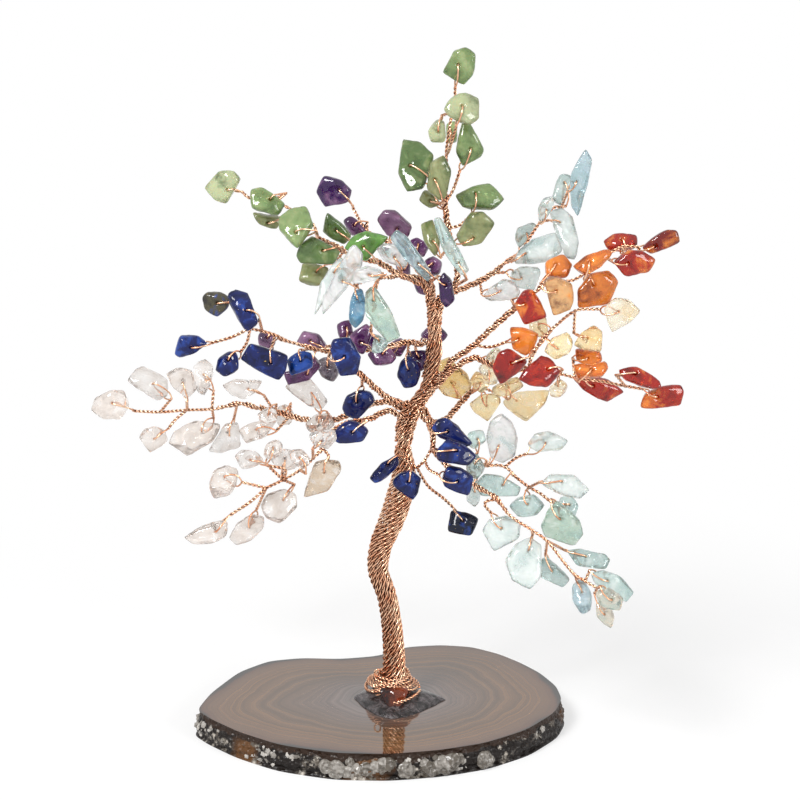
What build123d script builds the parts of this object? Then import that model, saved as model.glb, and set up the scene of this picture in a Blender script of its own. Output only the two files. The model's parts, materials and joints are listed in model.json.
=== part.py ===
from build123d import *
from math import atan2, cos, hypot, radians, sin, tau
from typing import NamedTuple
import os

# A gemstone tree: copper wire twisted into a trunk and boughs, a drilled stone pinched in a loop at the end
# of every twig, and a slice of agate for a base. Millimetres, +Z up. The origin is on the slice's flat
# underside, straight below the middle of the trunk's foot, and -Y faces the viewer.

# Agate slice
slice_thickness = 8.0
slice_flare = 2.2
slice_edge = 0.8

# Glue pad round the foot
pad_height = 2.4
pad_edge_height = 1.0
pad_shoulder_share = 0.88
pad_top_share = 0.55

# Copper wire
wire_radius = 0.25
pair_radius = 0.55
bundle_radius = 0.8
strand_radius = 0.65
fit_gap = 0.3
lay_gap = 0.12

# Trunk
core_radius = 1.4
slim_core_radius = 0.6
slim_circle_radius = 1.55
outer_strands = 9
inner_strands = 6
lay_pitch = 34.0

# Root coil
coil_turns = 3
coil_rise = 5.0
coil_spread_radius = 8.2

# Stones
stone_thickness = 3.6
stone_edge = 0.5
hole_width = 1.2
twist_clearance = 1.2
layer_step = 5.5
tree_reach = 40.0

# The outlines and routes below are read off a picture of the tree, 800 pixels square, seen from 20 degrees
# above. These sizes say where the eye stands, so that a pixel can be turned into a place on the tree.
photo_pixel = 0.285
eye_distance = 900.0
eye_angle = 20.0
middle_pixel = 400
foot_pixel = (392, 697)

# Trunk centre line from foot to crown: pixel across, pixel down, pixels wide
trunk_pixels = [
    (392, 697, 25), (394, 662, 24), (392, 629, 22), (387, 597, 21), (378, 569, 22), (381, 545, 24),
    (391, 521, 27), (399, 497, 28), (404, 473, 25), (403, 447, 17), (407, 420, 17), (415, 404, 17),
    (425, 390, 17), (432, 370, 17), (436, 350, 17), (434, 330, 17), (435, 308, 17),
]
foot_lift_pixels = 2
outer_end_pixel = 468
core_end_pixel = 484

# Agate slice, top outline
slice_pixels = [
    (197, 710), (211, 693), (239, 672), (269, 661), (302, 658), (340, 659), (378, 656), (406, 647),
    (441, 645), (472, 647), (499, 654), (521, 663), (540, 673), (556, 686), (562, 699), (554, 713),
    (526, 730), (485, 743), (440, 750), (389, 754), (335, 753), (280, 745), (239, 732), (211, 719),
]

# Glue pad, outline where it meets the slice
pad_pixels = [
    (351, 698), (360, 692), (372, 687), (392, 684), (412, 686), (428, 691), (449, 700), (436, 706),
    (422, 713), (407, 718), (392, 720), (377, 717), (363, 709),
]


class Stone(NamedTuple):
    """A drilled stone: its outline, the drilled hole, the twist that closes its loop, and its layer."""
    outline: list
    hole: tuple
    twist: tuple
    layer: float = 0
    way: tuple = ()


class Bough(NamedTuple):
    """A bough: where it leaves the trunk, its routes, how far back each lies, and its stones by group."""
    name: str
    leave_pixel: int
    leave_angle: float
    routes: list
    back_shares: list
    bundle_points: int
    stones: dict


crown = Bough(
    "crown", 308, 0,
    [[(447, 291), (455, 286), (457, 265), (451, 244), (448, 228), (445, 203), (446, 155), (452, 112),
      (455, 98)]],
    [(0.03, 0.2)], 5,
    {"crown_aventurine_stones": [
        Stone([(454, 51), (466, 47), (476, 54), (473, 75), (464, 85), (443, 72)], (459, 64), (455, 88)),
        Stone([(443, 110), (452, 97), (466, 92), (479, 98), (480, 118), (470, 124), (449, 117)],
              (462, 108), (456, 127), -1, ((449, 150),)),
        Stone([(428, 131), (437, 120), (445, 122), (445, 142), (431, 142)], (438, 130), (442, 115), -1),
        Stone([(446, 124), (457, 122), (457, 140), (447, 143)], (451, 132), (450, 148), 1),
        Stone([(462, 121), (470, 124), (484, 149), (481, 157), (462, 166), (456, 151)],
              (470, 148), (460, 170), 0, ((453, 190),)),
        Stone([(403, 140), (420, 143), (434, 156), (424, 188), (407, 192), (398, 172)],
              (410, 168), (430, 182)),
        Stone([(444, 155), (451, 170), (446, 197), (440, 200), (427, 190), (431, 163)],
              (434, 178), (440, 204), -1.5),
        Stone([(424, 190), (434, 194), (442, 204), (430, 208), (419, 200)], (431, 200), (444, 210), 1),
        Stone([(455, 195), (474, 187), (489, 184), (505, 199), (494, 209), (462, 207)],
              (475, 195), (473, 213), 0, ((460, 225),)),
        Stone([(456, 236), (470, 213), (483, 212), (495, 223), (481, 243), (463, 246)],
              (473, 236), (453, 243), -1),
        Stone([(420, 224), (433, 220), (440, 245), (435, 257), (425, 243)], (433, 243), (441, 258), -1),
    ],
     "crown_aquamarine_stone": [
        Stone([(433, 218), (440, 217), (457, 247), (469, 271), (462, 275), (444, 253)],
              (459, 262), (467, 280), -2),
    ]},
)

left_aventurine = Bough(
    "upper_left", 308, 180,
    [[(425, 287), (415, 281), (395, 272), (378, 262), (360, 258), (343, 252), (333, 243), (318, 238),
      (313, 225),
      (295, 212), (272, 200), (250, 198), (243, 193)]],
    [(0.05, 0.28, 0.5)], 5,
    {"upper_left_aventurine_stones": [
        Stone([(204, 188), (218, 171), (234, 170), (241, 179), (226, 204), (216, 200)],
              (228, 189), (243, 192)),
        Stone([(250, 190), (262, 188), (286, 204), (278, 216), (251, 208)], (270, 201), (287, 193), -1),
        Stone([(252, 212), (263, 215), (281, 218), (277, 229), (259, 224)], (268, 221), (284, 217)),
        Stone([(279, 217), (290, 209), (306, 205), (313, 224), (297, 249), (279, 229)],
              (296, 234), (317, 231), -1.5),
        Stone([(296, 256), (300, 245), (312, 236), (340, 251), (334, 264), (300, 263)],
              (322, 250), (343, 247), -1),
        Stone([(302, 264), (329, 268), (321, 285), (299, 281)], (317, 274), (334, 265)),
        Stone([(322, 232), (327, 212), (343, 225), (352, 236), (344, 245)], (336, 229), (354, 244), 1),
        Stone([(344, 248), (352, 237), (366, 231), (389, 237), (376, 250), (366, 262)],
              (364, 246), (378, 262), -1),
    ]},
)

upper_amethyst = Bough(
    "back", 308, 120,
    [[(427, 284), (420, 272), (408, 258), (390, 243), (367, 230), (353, 208)]],
    [(0.1, 0.85)], 3,
    {"upper_amethyst_stones": [
        Stone([(316, 191), (324, 176), (341, 180), (352, 190), (348, 202), (325, 207)],
              (340, 189), (353, 206)),
        Stone([(343, 221), (350, 216), (359, 223), (367, 233), (352, 235)], (354, 227), (368, 222)),
        Stone([(377, 220), (383, 211), (396, 211), (412, 226), (408, 237), (387, 235)],
              (397, 227), (389, 241), -1),
        Stone([(409, 241), (417, 238), (430, 246), (424, 256), (413, 252)], (419, 246), (410, 260)),
        Stone([(396, 262), (410, 262), (410, 277), (398, 277)], (403, 269), (412, 257), 1),
        Stone([(424, 262), (433, 257), (442, 262), (440, 274), (428, 275)], (433, 266), (421, 272), 1),
        Stone([(413, 279), (424, 277), (430, 285), (429, 295), (417, 293)], (422, 286), (430, 278), 1),
        Stone([(439, 281), (444, 272), (452, 282), (455, 300), (446, 308), (440, 298)],
              (446, 284), (437, 276), -2),
    ]},
)

front_left = Bough(
    "front_left", 308, 240,
    [[(431, 285), (420, 279), (400, 277), (380, 278), (366, 281), (355, 285)], [(380, 278), (375, 292)]],
    [(-0.1, -0.6), (-0.45, -0.5)], 3,
    {"front_aquamarine_stones": [
        Stone([(350, 248), (355, 244), (363, 253), (362, 266), (345, 290), (322, 316), (322, 300),
               (338, 268)],
              (343, 280), (357, 288)),
        Stone([(334, 263), (342, 258), (344, 272), (325, 300), (314, 316), (320, 285)],
              (334, 274), (347, 262), 1.5),
        Stone([(355, 270), (366, 267), (382, 271), (379, 278), (352, 284)], (369, 273), (386, 274), -2),
        Stone([(350, 305), (354, 293), (362, 289), (366, 303), (363, 322), (356, 329), (349, 322)],
              (358, 301), (357, 284), 1),
        Stone([(365, 292), (374, 286), (391, 311), (401, 337), (388, 343), (366, 316)],
              (373, 300), (376, 282), -1.5),
        Stone([(376, 334), (389, 343), (380, 353), (371, 352)], (379, 343), (370, 331), 1),
        Stone([(390, 238), (397, 229), (407, 237), (432, 273), (428, 282), (403, 257)],
              (418, 262), (433, 280), -1),
        Stone([(376, 249), (383, 244), (396, 244), (409, 260), (405, 268), (385, 261)],
              (395, 256), (402, 272), 1.5),
    ]},
)

upper_right = Bough(
    "upper_right", 308, 60,
    [[(441, 296), (457, 291), (480, 281), (493, 273), (520, 251), (541, 221), (555, 207), (561, 208)]],
    [(0.05, 0.68)], 3,
    {"upper_right_aquamarine_stones": [
        Stone([(580, 157), (586, 148), (592, 160), (588, 183), (578, 217), (571, 205), (571, 174)],
              (577, 181), (567, 192), -1),
        Stone([(556, 182), (561, 174), (571, 176), (570, 192), (562, 205), (552, 200)],
              (564, 184), (566, 207), 1),
        Stone([(538, 208), (543, 199), (553, 196), (554, 204), (547, 217), (539, 221)],
              (546, 208), (541, 224), -1),
        Stone([(550, 212), (562, 209), (573, 217), (579, 243), (575, 260), (566, 257), (556, 234)],
              (560, 224), (549, 220), -1),
        Stone([(518, 228), (533, 222), (537, 226), (527, 240), (519, 249), (515, 238)],
              (526, 233), (520, 254), 1.5),
        Stone([(519, 252), (534, 239), (556, 233), (563, 251), (549, 261), (514, 263)],
              (526, 256), (511, 262), -2),
        Stone([(511, 273), (521, 268), (539, 267), (541, 273), (534, 290), (512, 286)],
              (521, 277), (506, 272)),
        Stone([(483, 296), (490, 288), (504, 279), (514, 282), (521, 292), (516, 300), (490, 301)],
              (501, 290), (481, 294), -1),
    ]},
)

upper_carnelian = Bough(
    "right_upper", 372, 330,
    [[(450, 362), (463, 353), (474, 345), (490, 330), (515, 308), (530, 296), (545, 284), (573, 280),
      (588, 271),
      (605, 257), (622, 247), (640, 247)]],
    [(-0.08, -0.2, -0.1)], 5,
    {"upper_carnelian_stones": [
        Stone([(515, 304), (523, 291), (532, 289), (541, 302), (547, 317), (524, 325)],
              (525, 303), (511, 300), -1),
        Stone([(545, 262), (562, 255), (573, 264), (567, 278), (547, 276)], (555, 266), (540, 284), 1),
        Stone([(544, 279), (556, 277), (572, 284), (574, 300), (570, 310), (553, 315)],
              (556, 289), (541, 287), -1),
        Stone([(572, 266), (586, 257), (610, 249), (613, 254), (600, 267), (584, 274)],
              (590, 264), (584, 280), -1.5),
        Stone([(577, 290), (590, 274), (609, 270), (619, 282), (608, 304), (578, 308)],
              (593, 284), (588, 269)),
        Stone([(603, 241), (614, 234), (637, 236), (638, 246), (622, 250), (608, 249)],
              (622, 242), (623, 254), 1),
        Stone([(614, 263), (628, 250), (642, 251), (656, 259), (649, 272), (625, 276)],
              (627, 262), (611, 261), -1),
        Stone([(642, 248), (652, 238), (666, 230), (677, 230), (680, 242), (652, 254)],
              (655, 245), (639, 249)),
    ],
     "orange_carnelian_stone": [
        Stone([(510, 327), (525, 328), (539, 334), (533, 350), (526, 356), (513, 349)],
              (519, 338), (506, 342), -0.5, ((490, 347),)),
    ]},
)

lower_carnelian = Bough(
    "right_lower", 382, 300,
    [[(452, 370), (474, 358), (489, 364), (505, 369), (530, 369), (556, 372), (575, 378), (600, 381),
      (625, 386),
      (643, 389)], [(530, 369), (533, 352), (548, 334), (575, 311), (597, 309)]],
    [(-0.15, -0.4), (-0.27, -0.3)], 4,
    {"lower_carnelian_stones": [
        Stone([(575, 349), (600, 351), (603, 361), (593, 366), (577, 361)], (588, 357), (572, 358), 1),
        Stone([(573, 364), (592, 366), (606, 361), (608, 369), (602, 377), (577, 377)],
              (591, 371), (578, 382), -1),
        Stone([(573, 379), (592, 377), (608, 381), (625, 392), (607, 401), (584, 391)],
              (593, 384), (583, 373), 1),
        Stone([(618, 371), (636, 367), (661, 381), (662, 388), (650, 388), (625, 380)],
              (636, 375), (615, 375), -1),
        Stone([(640, 408), (645, 394), (661, 386), (681, 384), (684, 391), (680, 405), (655, 408)],
              (656, 396), (643, 389)),
    ],
     "red_carnelian_stones": [
        Stone([(492, 367), (499, 352), (508, 348), (527, 362), (520, 371), (500, 385)],
              (512, 362), (530, 357), -1),
        Stone([(518, 379), (527, 367), (541, 356), (551, 359), (560, 373), (548, 387), (530, 386)],
              (547, 371), (563, 370), -2),
    ],
     "right_citrine_stones": [
        Stone([(604, 309), (614, 298), (628, 299), (641, 311), (631, 321), (612, 333)],
              (619, 311), (600, 310)),
        Stone([(580, 334), (594, 325), (602, 332), (602, 352), (588, 350), (574, 345)],
              (587, 339), (573, 333)),
        Stone([(486, 356), (497, 347), (504, 353), (499, 368), (488, 367)], (493, 359), (479, 360), 1),
        Stone([(529, 322), (546, 317), (548, 332), (541, 337), (530, 333)], (539, 326), (552, 331), 2),
        Stone([(544, 351), (552, 339), (567, 332), (573, 340), (569, 354), (556, 360)],
              (557, 348), (545, 338)),
        Stone([(549, 388), (560, 380), (568, 386), (561, 397), (550, 396)], (558, 388), (559, 375), 1),
    ]},
)

low_citrine = Bough(
    "low_right", 412, 30,
    [[(432, 422), (446, 419), (458, 406), (472, 392), (483, 389), (500, 393), (520, 388)]],
    [(0.1, 0.5)], 3,
    {"low_citrine_stones": [
        Stone([(469, 404), (481, 395), (498, 394), (501, 402), (488, 421), (474, 412)],
              (487, 405), (482, 391), -1),
        Stone([(502, 402), (516, 393), (550, 390), (545, 404), (526, 422), (515, 415)],
              (516, 402), (506, 390)),
        Stone([(436, 385), (442, 372), (455, 366), (467, 373), (472, 386), (459, 398), (444, 394)],
              (453, 384), (462, 401)),
        Stone([(438, 361), (450, 357), (457, 366), (450, 378), (439, 374)], (447, 367), (458, 374), 1),
        Stone([(469, 382), (476, 371), (487, 376), (490, 385), (480, 393)], (480, 382), (472, 393), -1.5),
        Stone([(478, 368), (488, 361), (498, 371), (498, 384), (487, 384)], (489, 373), (486, 389), 1),
        Stone([(492, 388), (505, 382), (518, 377), (524, 386), (508, 395), (495, 396)],
              (508, 386), (508, 400), -2),
    ]},
)

lower_right = Bough(
    "lower_right", 404, 300,
    [[(420, 412), (429, 424), (433, 437), (432, 449), (425, 460), (417, 468)],
     [(432, 449), (450, 458), (470, 464), (486, 465), (505, 467), (517, 478), (529, 487), (541, 494),
       (551, 502)],
     [(432, 449), (450, 468), (470, 480), (482, 490), (497, 499), (512, 517), (532, 530), (547, 541),
      (573, 573), (585, 581), (597, 588)]],
    [(-0.15, -0.3), (-0.25, -0.15, -0.35), (-0.25, -0.55, -0.8)], 4,
    {"right_lapis_stones": [
        Stone([(432, 428), (437, 420), (446, 418), (458, 427), (473, 443), (465, 447), (440, 438)],
              (448, 430), (429, 428), -1),
        Stone([(436, 451), (447, 440), (461, 443), (477, 456), (469, 466), (439, 460)],
              (456, 452), (433, 450), -2),
        Stone([(442, 480), (447, 466), (461, 468), (474, 478), (469, 495), (444, 487)],
              (457, 479), (439, 475), -1.5, ((429, 469),)),
        Stone([(451, 511), (465, 513), (479, 518), (471, 536), (447, 531)],
              (463, 522), (453, 507), 0, ((443, 498), (428, 486))),
        Stone([(392, 482), (400, 473), (411, 470), (421, 478), (418, 492), (413, 500), (394, 487)],
              (408, 481), (412, 466)),
        Stone([(369, 478), (381, 465), (398, 455), (399, 465), (388, 475), (375, 483)],
              (388, 466), (402, 456)),
    ],
     "lower_right_aquamarine_stones": [
        Stone([(486, 437), (490, 421), (502, 413), (512, 421), (518, 437), (515, 456), (503, 463),
               (491, 457)],
              (499, 445), (488, 466), 1),
        Stone([(468, 433), (483, 430), (486, 441), (475, 448), (467, 443)], (477, 440), (478, 453), 1),
        Stone([(528, 446), (534, 434), (548, 432), (569, 441), (561, 450), (538, 451)],
              (545, 441), (527, 454), 0, ((516, 458),)),
        Stone([(541, 484), (550, 475), (574, 475), (590, 490), (581, 499), (556, 492)],
              (562, 483), (539, 482), -1),
        Stone([(476, 484), (484, 474), (501, 476), (521, 487), (518, 496), (480, 496)],
              (502, 484), (511, 473), -0.5),
        Stone([(466, 464), (477, 454), (485, 467), (477, 479), (467, 474)], (475, 466), (487, 461), -1),
        Stone([(468, 480), (481, 482), (480, 500), (475, 508), (467, 501)],
              (474, 490), (477, 474), 1, ((474, 466),)),
        Stone([(509, 506), (518, 498), (534, 495), (545, 505), (537, 515), (518, 517)],
              (528, 503), (526, 490)),
        Stone([(560, 497), (571, 496), (579, 506), (574, 518), (562, 513)], (569, 506), (555, 502), 1.5),
        Stone([(541, 526), (548, 510), (558, 501), (580, 520), (583, 534), (575, 546), (544, 536)],
              (560, 517), (551, 499)),
    ],
     "foot_aquamarine_stones": [
        Stone([(482, 530), (489, 520), (506, 515), (521, 524), (519, 538), (494, 551)],
              (502, 527), (491, 513), 0, ((485, 503),)),
        Stone([(505, 559), (516, 543), (530, 538), (541, 546), (541, 577), (530, 590), (512, 580)],
              (528, 551), (533, 534)),
        Stone([(538, 562), (548, 558), (570, 579), (563, 587), (541, 577)], (552, 569), (545, 554), 1),
        Stone([(566, 551), (580, 550), (604, 554), (611, 560), (606, 570), (577, 565)],
              (586, 558), (562, 549), 1),
        Stone([(592, 574), (604, 571), (620, 576), (634, 592), (626, 602), (594, 583)],
              (607, 580), (589, 570)),
        Stone([(572, 585), (583, 579), (592, 593), (591, 610), (582, 615), (572, 598)],
              (582, 594), (576, 576), 1),
        Stone([(596, 593), (610, 589), (624, 598), (621, 611), (600, 606)], (611, 598), (600, 586), -1),
        Stone([(596, 602), (610, 604), (615, 617), (611, 629), (597, 617)], (605, 613), (594, 593)),
    ]},
)

left_lapis = Bough(
    "left", 402, 210,
    [[(398, 402), (388, 398), (375, 388), (362, 376), (345, 363), (330, 352), (312, 348), (292, 343),
      (275, 335),
      (262, 331), (250, 328), (243, 320), (234, 305)]],
    [(-0.15, -0.48)], 5,
    {"left_lapis_stones": [
        Stone([(202, 297), (207, 292), (221, 292), (230, 298), (229, 307), (217, 317), (205, 309)],
              (218, 302), (233, 303), 1),
        Stone([(227, 294), (236, 289), (248, 293), (258, 323), (246, 331), (231, 305)],
              (246, 312), (260, 320), -1),
        Stone([(174, 355), (180, 336), (198, 337), (208, 343), (196, 351), (180, 358)],
              (191, 345), (211, 343), 0, ((232, 337),)),
        Stone([(215, 370), (219, 358), (228, 351), (237, 353), (239, 369), (224, 377)],
              (229, 362), (241, 352), 0, ((247, 342),)),
        Stone([(240, 359), (250, 343), (272, 350), (288, 355), (286, 371), (279, 380), (257, 370)],
              (270, 362), (272, 346)),
        Stone([(287, 361), (299, 353), (312, 354), (313, 366), (290, 376)], (301, 363), (302, 350), 0.5),
        Stone([(330, 349), (333, 339), (350, 337), (361, 357), (358, 374), (340, 376)],
              (344, 355), (328, 357), -1),
        Stone([(342, 408), (346, 396), (360, 389), (371, 393), (375, 401), (357, 420), (345, 415)],
              (357, 401), (362, 386), 1),
    ]},
)

lower_amethyst = Bough(
    "middle", 345, 135,
    [[(420, 344), (409, 342), (395, 345), (380, 350), (362, 350), (345, 348), (325, 346), (300, 344),
      (281, 340)]],
    [(0.12, 0.25)], 3,
    {"lower_amethyst_stones": [
        Stone([(350, 335), (358, 329), (367, 323), (373, 331), (364, 355), (351, 349)],
              (361, 341), (372, 350), -1),
        Stone([(336, 324), (350, 320), (354, 334), (340, 339)], (346, 329), (343, 344)),
        Stone([(367, 333), (379, 337), (382, 351), (370, 354)], (375, 344), (386, 350), 1),
        Stone([(367, 354), (388, 347), (397, 357), (392, 363), (374, 365)], (383, 356), (399, 346), -1.5),
        Stone([(388, 345), (401, 337), (407, 345), (401, 357), (391, 355)], (398, 346), (410, 340), 1),
        Stone([(406, 352), (430, 352), (427, 366), (420, 371), (410, 362)], (419, 360), (415, 345)),
        Stone([(421, 336), (427, 327), (440, 326), (448, 335), (433, 350)], (431, 337), (419, 344), 1),
        Stone([(296, 342), (303, 331), (319, 335), (327, 346), (309, 350)], (311, 340), (325, 349), -1),
        Stone([(258, 335), (262, 329), (272, 334), (276, 344), (268, 349), (259, 345)],
              (267, 339), (279, 337)),
        Stone([(283, 372), (299, 370), (313, 356), (321, 365), (308, 380), (288, 384)],
              (307, 372), (316, 350), -1),
        Stone([(316, 363), (325, 357), (334, 361), (339, 374), (333, 382), (321, 376)],
              (328, 368), (332, 353), 1),
    ],
     "middle_lapis_stone": [
        Stone([(397, 375), (400, 362), (408, 356), (416, 361), (421, 373), (416, 386), (404, 388)],
              (409, 368), (408, 351), -1),
    ]},
)

upper_quartz = Bough(
    "far_left", 408, 170,
    [[(390, 402), (375, 403), (360, 408), (345, 416), (333, 420), (318, 421), (303, 419), (290, 416),
      (274, 411),
      (237, 404), (212, 409), (187, 410), (160, 412), (134, 411)]],
    [(0.05, 0.65)], 7,
    {"upper_quartz_stones": [
        Stone([(91, 410), (95, 398), (109, 391), (123, 390), (129, 407), (121, 419), (103, 419)],
              (113, 402), (133, 410)),
        Stone([(127, 381), (135, 370), (143, 366), (168, 380), (168, 395), (157, 401)],
              (153, 385), (172, 399)),
        Stone([(166, 374), (176, 368), (192, 370), (197, 390), (187, 398), (174, 388)],
              (183, 381), (187, 403), -1),
        Stone([(193, 366), (205, 359), (214, 366), (210, 384), (204, 395), (197, 392)],
              (204, 376), (214, 391), 1),
        Stone([(139, 438), (144, 429), (155, 426), (165, 430), (168, 441), (150, 453)],
              (154, 438), (168, 429), 0, ((175, 420),)),
        Stone([(168, 443), (174, 432), (196, 422), (221, 425), (213, 441), (187, 456)],
              (202, 433), (214, 418)),
        Stone([(208, 452), (216, 440), (225, 424), (238, 423), (241, 447), (222, 453)],
              (229, 434), (234, 418), 1),
        Stone([(222, 385), (234, 380), (262, 381), (256, 392), (244, 399), (231, 395)],
              (249, 388), (264, 395), -1),
        Stone([(257, 414), (268, 407), (277, 411), (277, 423), (261, 424)], (268, 416), (277, 404), -1),
        Stone([(276, 409), (286, 405), (294, 413), (291, 424), (278, 425)], (285, 415), (291, 403), 1),
        Stone([(238, 431), (252, 423), (277, 420), (264, 436), (246, 443)], (257, 431), (277, 431)),
        Stone([(284, 387), (292, 380), (308, 376), (328, 401), (322, 409), (309, 406)],
              (311, 392), (320, 413)),
        Stone([(305, 424), (315, 415), (330, 415), (335, 425), (323, 433), (309, 432)],
              (319, 424), (327, 412), -1),
    ]},
)

lower_quartz = Bough(
    "low_left", 412, 240,
    [[(388, 411), (372, 418), (362, 421), (345, 424), (333, 432), (323, 448), (313, 459), (300, 470),
      (283, 480),
      (266, 488)]],
    [(-0.12, -0.75)], 4,
    {"lower_quartz_stones": [
        Stone([(308, 434), (320, 430), (334, 429), (337, 440), (328, 449), (315, 445)],
              (322, 440), (312, 449), -1),
        Stone([(263, 455), (267, 444), (276, 439), (283, 445), (280, 456), (269, 459)],
              (273, 449), (266, 465)),
        Stone([(270, 458), (281, 450), (291, 450), (301, 463), (294, 470), (276, 467)],
              (285, 459), (282, 474), 1),
        Stone([(288, 452), (301, 449), (311, 459), (303, 469), (293, 463)], (300, 459), (306, 474), -1),
        Stone([(234, 456), (241, 450), (256, 451), (264, 461), (254, 467), (241, 469)],
              (250, 459), (269, 466), -1, ((285, 470),)),
        Stone([(209, 487), (213, 472), (226, 465), (238, 470), (237, 482), (228, 495), (214, 499)],
              (225, 479), (242, 482)),
        Stone([(183, 537), (196, 530), (219, 521), (228, 521), (226, 536), (216, 542), (192, 544)],
              (215, 530), (230, 515), 0, ((250, 502),)),
        Stone([(229, 538), (237, 524), (250, 515), (263, 517), (264, 527), (251, 541), (236, 545)],
              (250, 526), (256, 510), 1),
        Stone([(260, 505), (267, 494), (284, 489), (296, 495), (297, 508), (279, 524), (266, 518)],
              (283, 501), (295, 484)),
        Stone([(303, 498), (308, 482), (315, 462), (339, 460), (342, 468), (328, 490)],
              (324, 470), (329, 455)),
    ],
     "inner_lapis_stone": [
        Stone([(331, 437), (338, 427), (348, 420), (357, 422), (369, 431), (363, 441), (338, 444)],
              (353, 431), (367, 421), -2),
    ]},
)

boughs = [
    crown, left_aventurine, upper_amethyst, front_left, upper_right, upper_carnelian, lower_carnelian,
    low_citrine, lower_right, left_lapis, lower_amethyst, upper_quartz, lower_quartz,
]

# Each stone is turned off the viewer by one of these, in degrees: about its upright, then about its level
stone_turns = [(-22, 12), (16, -18), (6, 24), (-14, -20), (26, 8), (-8, -26), (20, 18)]


class Eye:
    """Turns a pixel of the picture into a place, once it is known how far back it lies."""

    def __init__(self):
        self.level = cos(radians(eye_angle))
        self.dip = sin(radians(eye_angle))
        self.share = photo_pixel / eye_distance
        self.place = Vector(0, 0, 0)
        foot = self.seen(foot_pixel, 0)
        self.place = Vector(-foot.X, 0, slice_thickness - foot.Z)

    def ray(self, pixel):
        across = (pixel[0] - middle_pixel) * self.share
        up = (middle_pixel - pixel[1]) * self.share
        return Vector(across, self.level + up * self.dip, up * self.level - self.dip)

    def start(self):
        return self.place + Vector(0, -eye_distance * self.level, eye_distance * self.dip)

    def seen(self, pixel, back):
        ray = self.ray(pixel)
        return self.start() + ray * ((back - self.start().Y) / ray.Y)

    def on_level(self, pixel, height):
        ray = self.ray(pixel)
        return self.start() + ray * ((height - self.start().Z) / ray.Z)

    def on_plane(self, pixel, plane):
        ray = self.ray(pixel)
        reach = (plane.origin - self.start()).dot(plane.z_dir) / ray.dot(plane.z_dir)
        return plane.to_local_coords(self.start() + ray * reach)


eye = Eye()


def between(values, share):
    """The value that lies at this share of the way along an evenly spaced list."""
    place = share * (len(values) - 1)
    index = min(int(place), len(values) - 2)
    return values[index] + (values[index + 1] - values[index]) * (place - index)


def tube(points, radius, sides):
    """A wire of a few flat sides along straight runs, mitred where they meet."""
    with BuildLine() as path:
        Polyline(*points)
    with BuildSketch(Plane(origin=path.line @ 0, z_dir=path.line % 0)) as section:
        RegularPolygon(radius, sides)
    return sweep(section.sketch, path=path.line, transition=Transition.RIGHT, mode=Mode.PRIVATE)


def trunk_at(pixel_down):
    """The trunk's centre and its radius at one height of the picture."""
    for lower, upper in zip(trunk_pixels, trunk_pixels[1:]):
        if upper[1] <= pixel_down <= lower[1]:
            share = (lower[1] - pixel_down) / (lower[1] - upper[1])
            across = lower[0] + (upper[0] - lower[0]) * share
            width = lower[2] + (upper[2] - lower[2]) * share
            return eye.seen((across, pixel_down), 0), width * photo_pixel / 2
    raise ValueError("no trunk at this height")


def trunk_points(first_pixel, last_pixel, count):
    """Centre points of the trunk, evenly spaced down the picture, with the radius at each."""
    return [trunk_at(first_pixel + (last_pixel - first_pixel) * i / (count - 1)) for i in range(count)]


def laid_strand(stations, circle, phase):
    """Points of one strand that winds round the trunk: circle gives its distance from the centre line."""
    points = []
    run = 0
    for index, (centre, radius) in enumerate(stations):
        before = stations[max(index - 1, 0)][0]
        after = stations[min(index + 1, len(stations) - 1)][0]
        back = Vector(0, 1, 0)
        side = back.cross(after - before).normalized()
        run += (centre - before).length
        angle = phase + tau * run / lay_pitch
        points.append(centre + (side * cos(angle) + back * sin(angle)) * circle(radius))
    return points


def route_points(route, shares):
    """A route's places: pixels from the picture, and how far back from the list of shares."""
    lengths = [0]
    for first, second in zip(route, route[1:]):
        lengths.append(lengths[-1] + hypot(second[0] - first[0], second[1] - first[1]))
    return [eye.seen(pixel, between(shares, run / lengths[-1]) * tree_reach)
            for pixel, run in zip(route, lengths)]


def root_points(bough):
    """Where a bough starts: on top of the trunk, or against its side with a short elbow."""
    centre, radius = trunk_at(bough.leave_pixel)
    angle = radians(bough.leave_angle)
    outward = Vector(cos(angle), sin(angle), 0)
    if bough.leave_pixel == trunk_pixels[-1][1]:
        return [centre + outward * slim_circle_radius + Vector(0, 0, fit_gap)]
    reach = slim_circle_radius + strand_radius + fit_gap
    return [centre + outward * reach, centre + outward * (reach + 2 * bundle_radius)]


def nearest_place(bough, pixel):
    """The place on a bough's routes that is nearest to a pixel in the picture."""
    best = None
    for route, shares in zip(bough.routes, bough.back_shares):
        for point, place in zip(route, route_points(route, shares)):
            distance = hypot(point[0] - pixel[0], point[1] - pixel[1])
            if best is None or distance < best[0]:
                best = (distance, place)
    return best[1]


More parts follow.
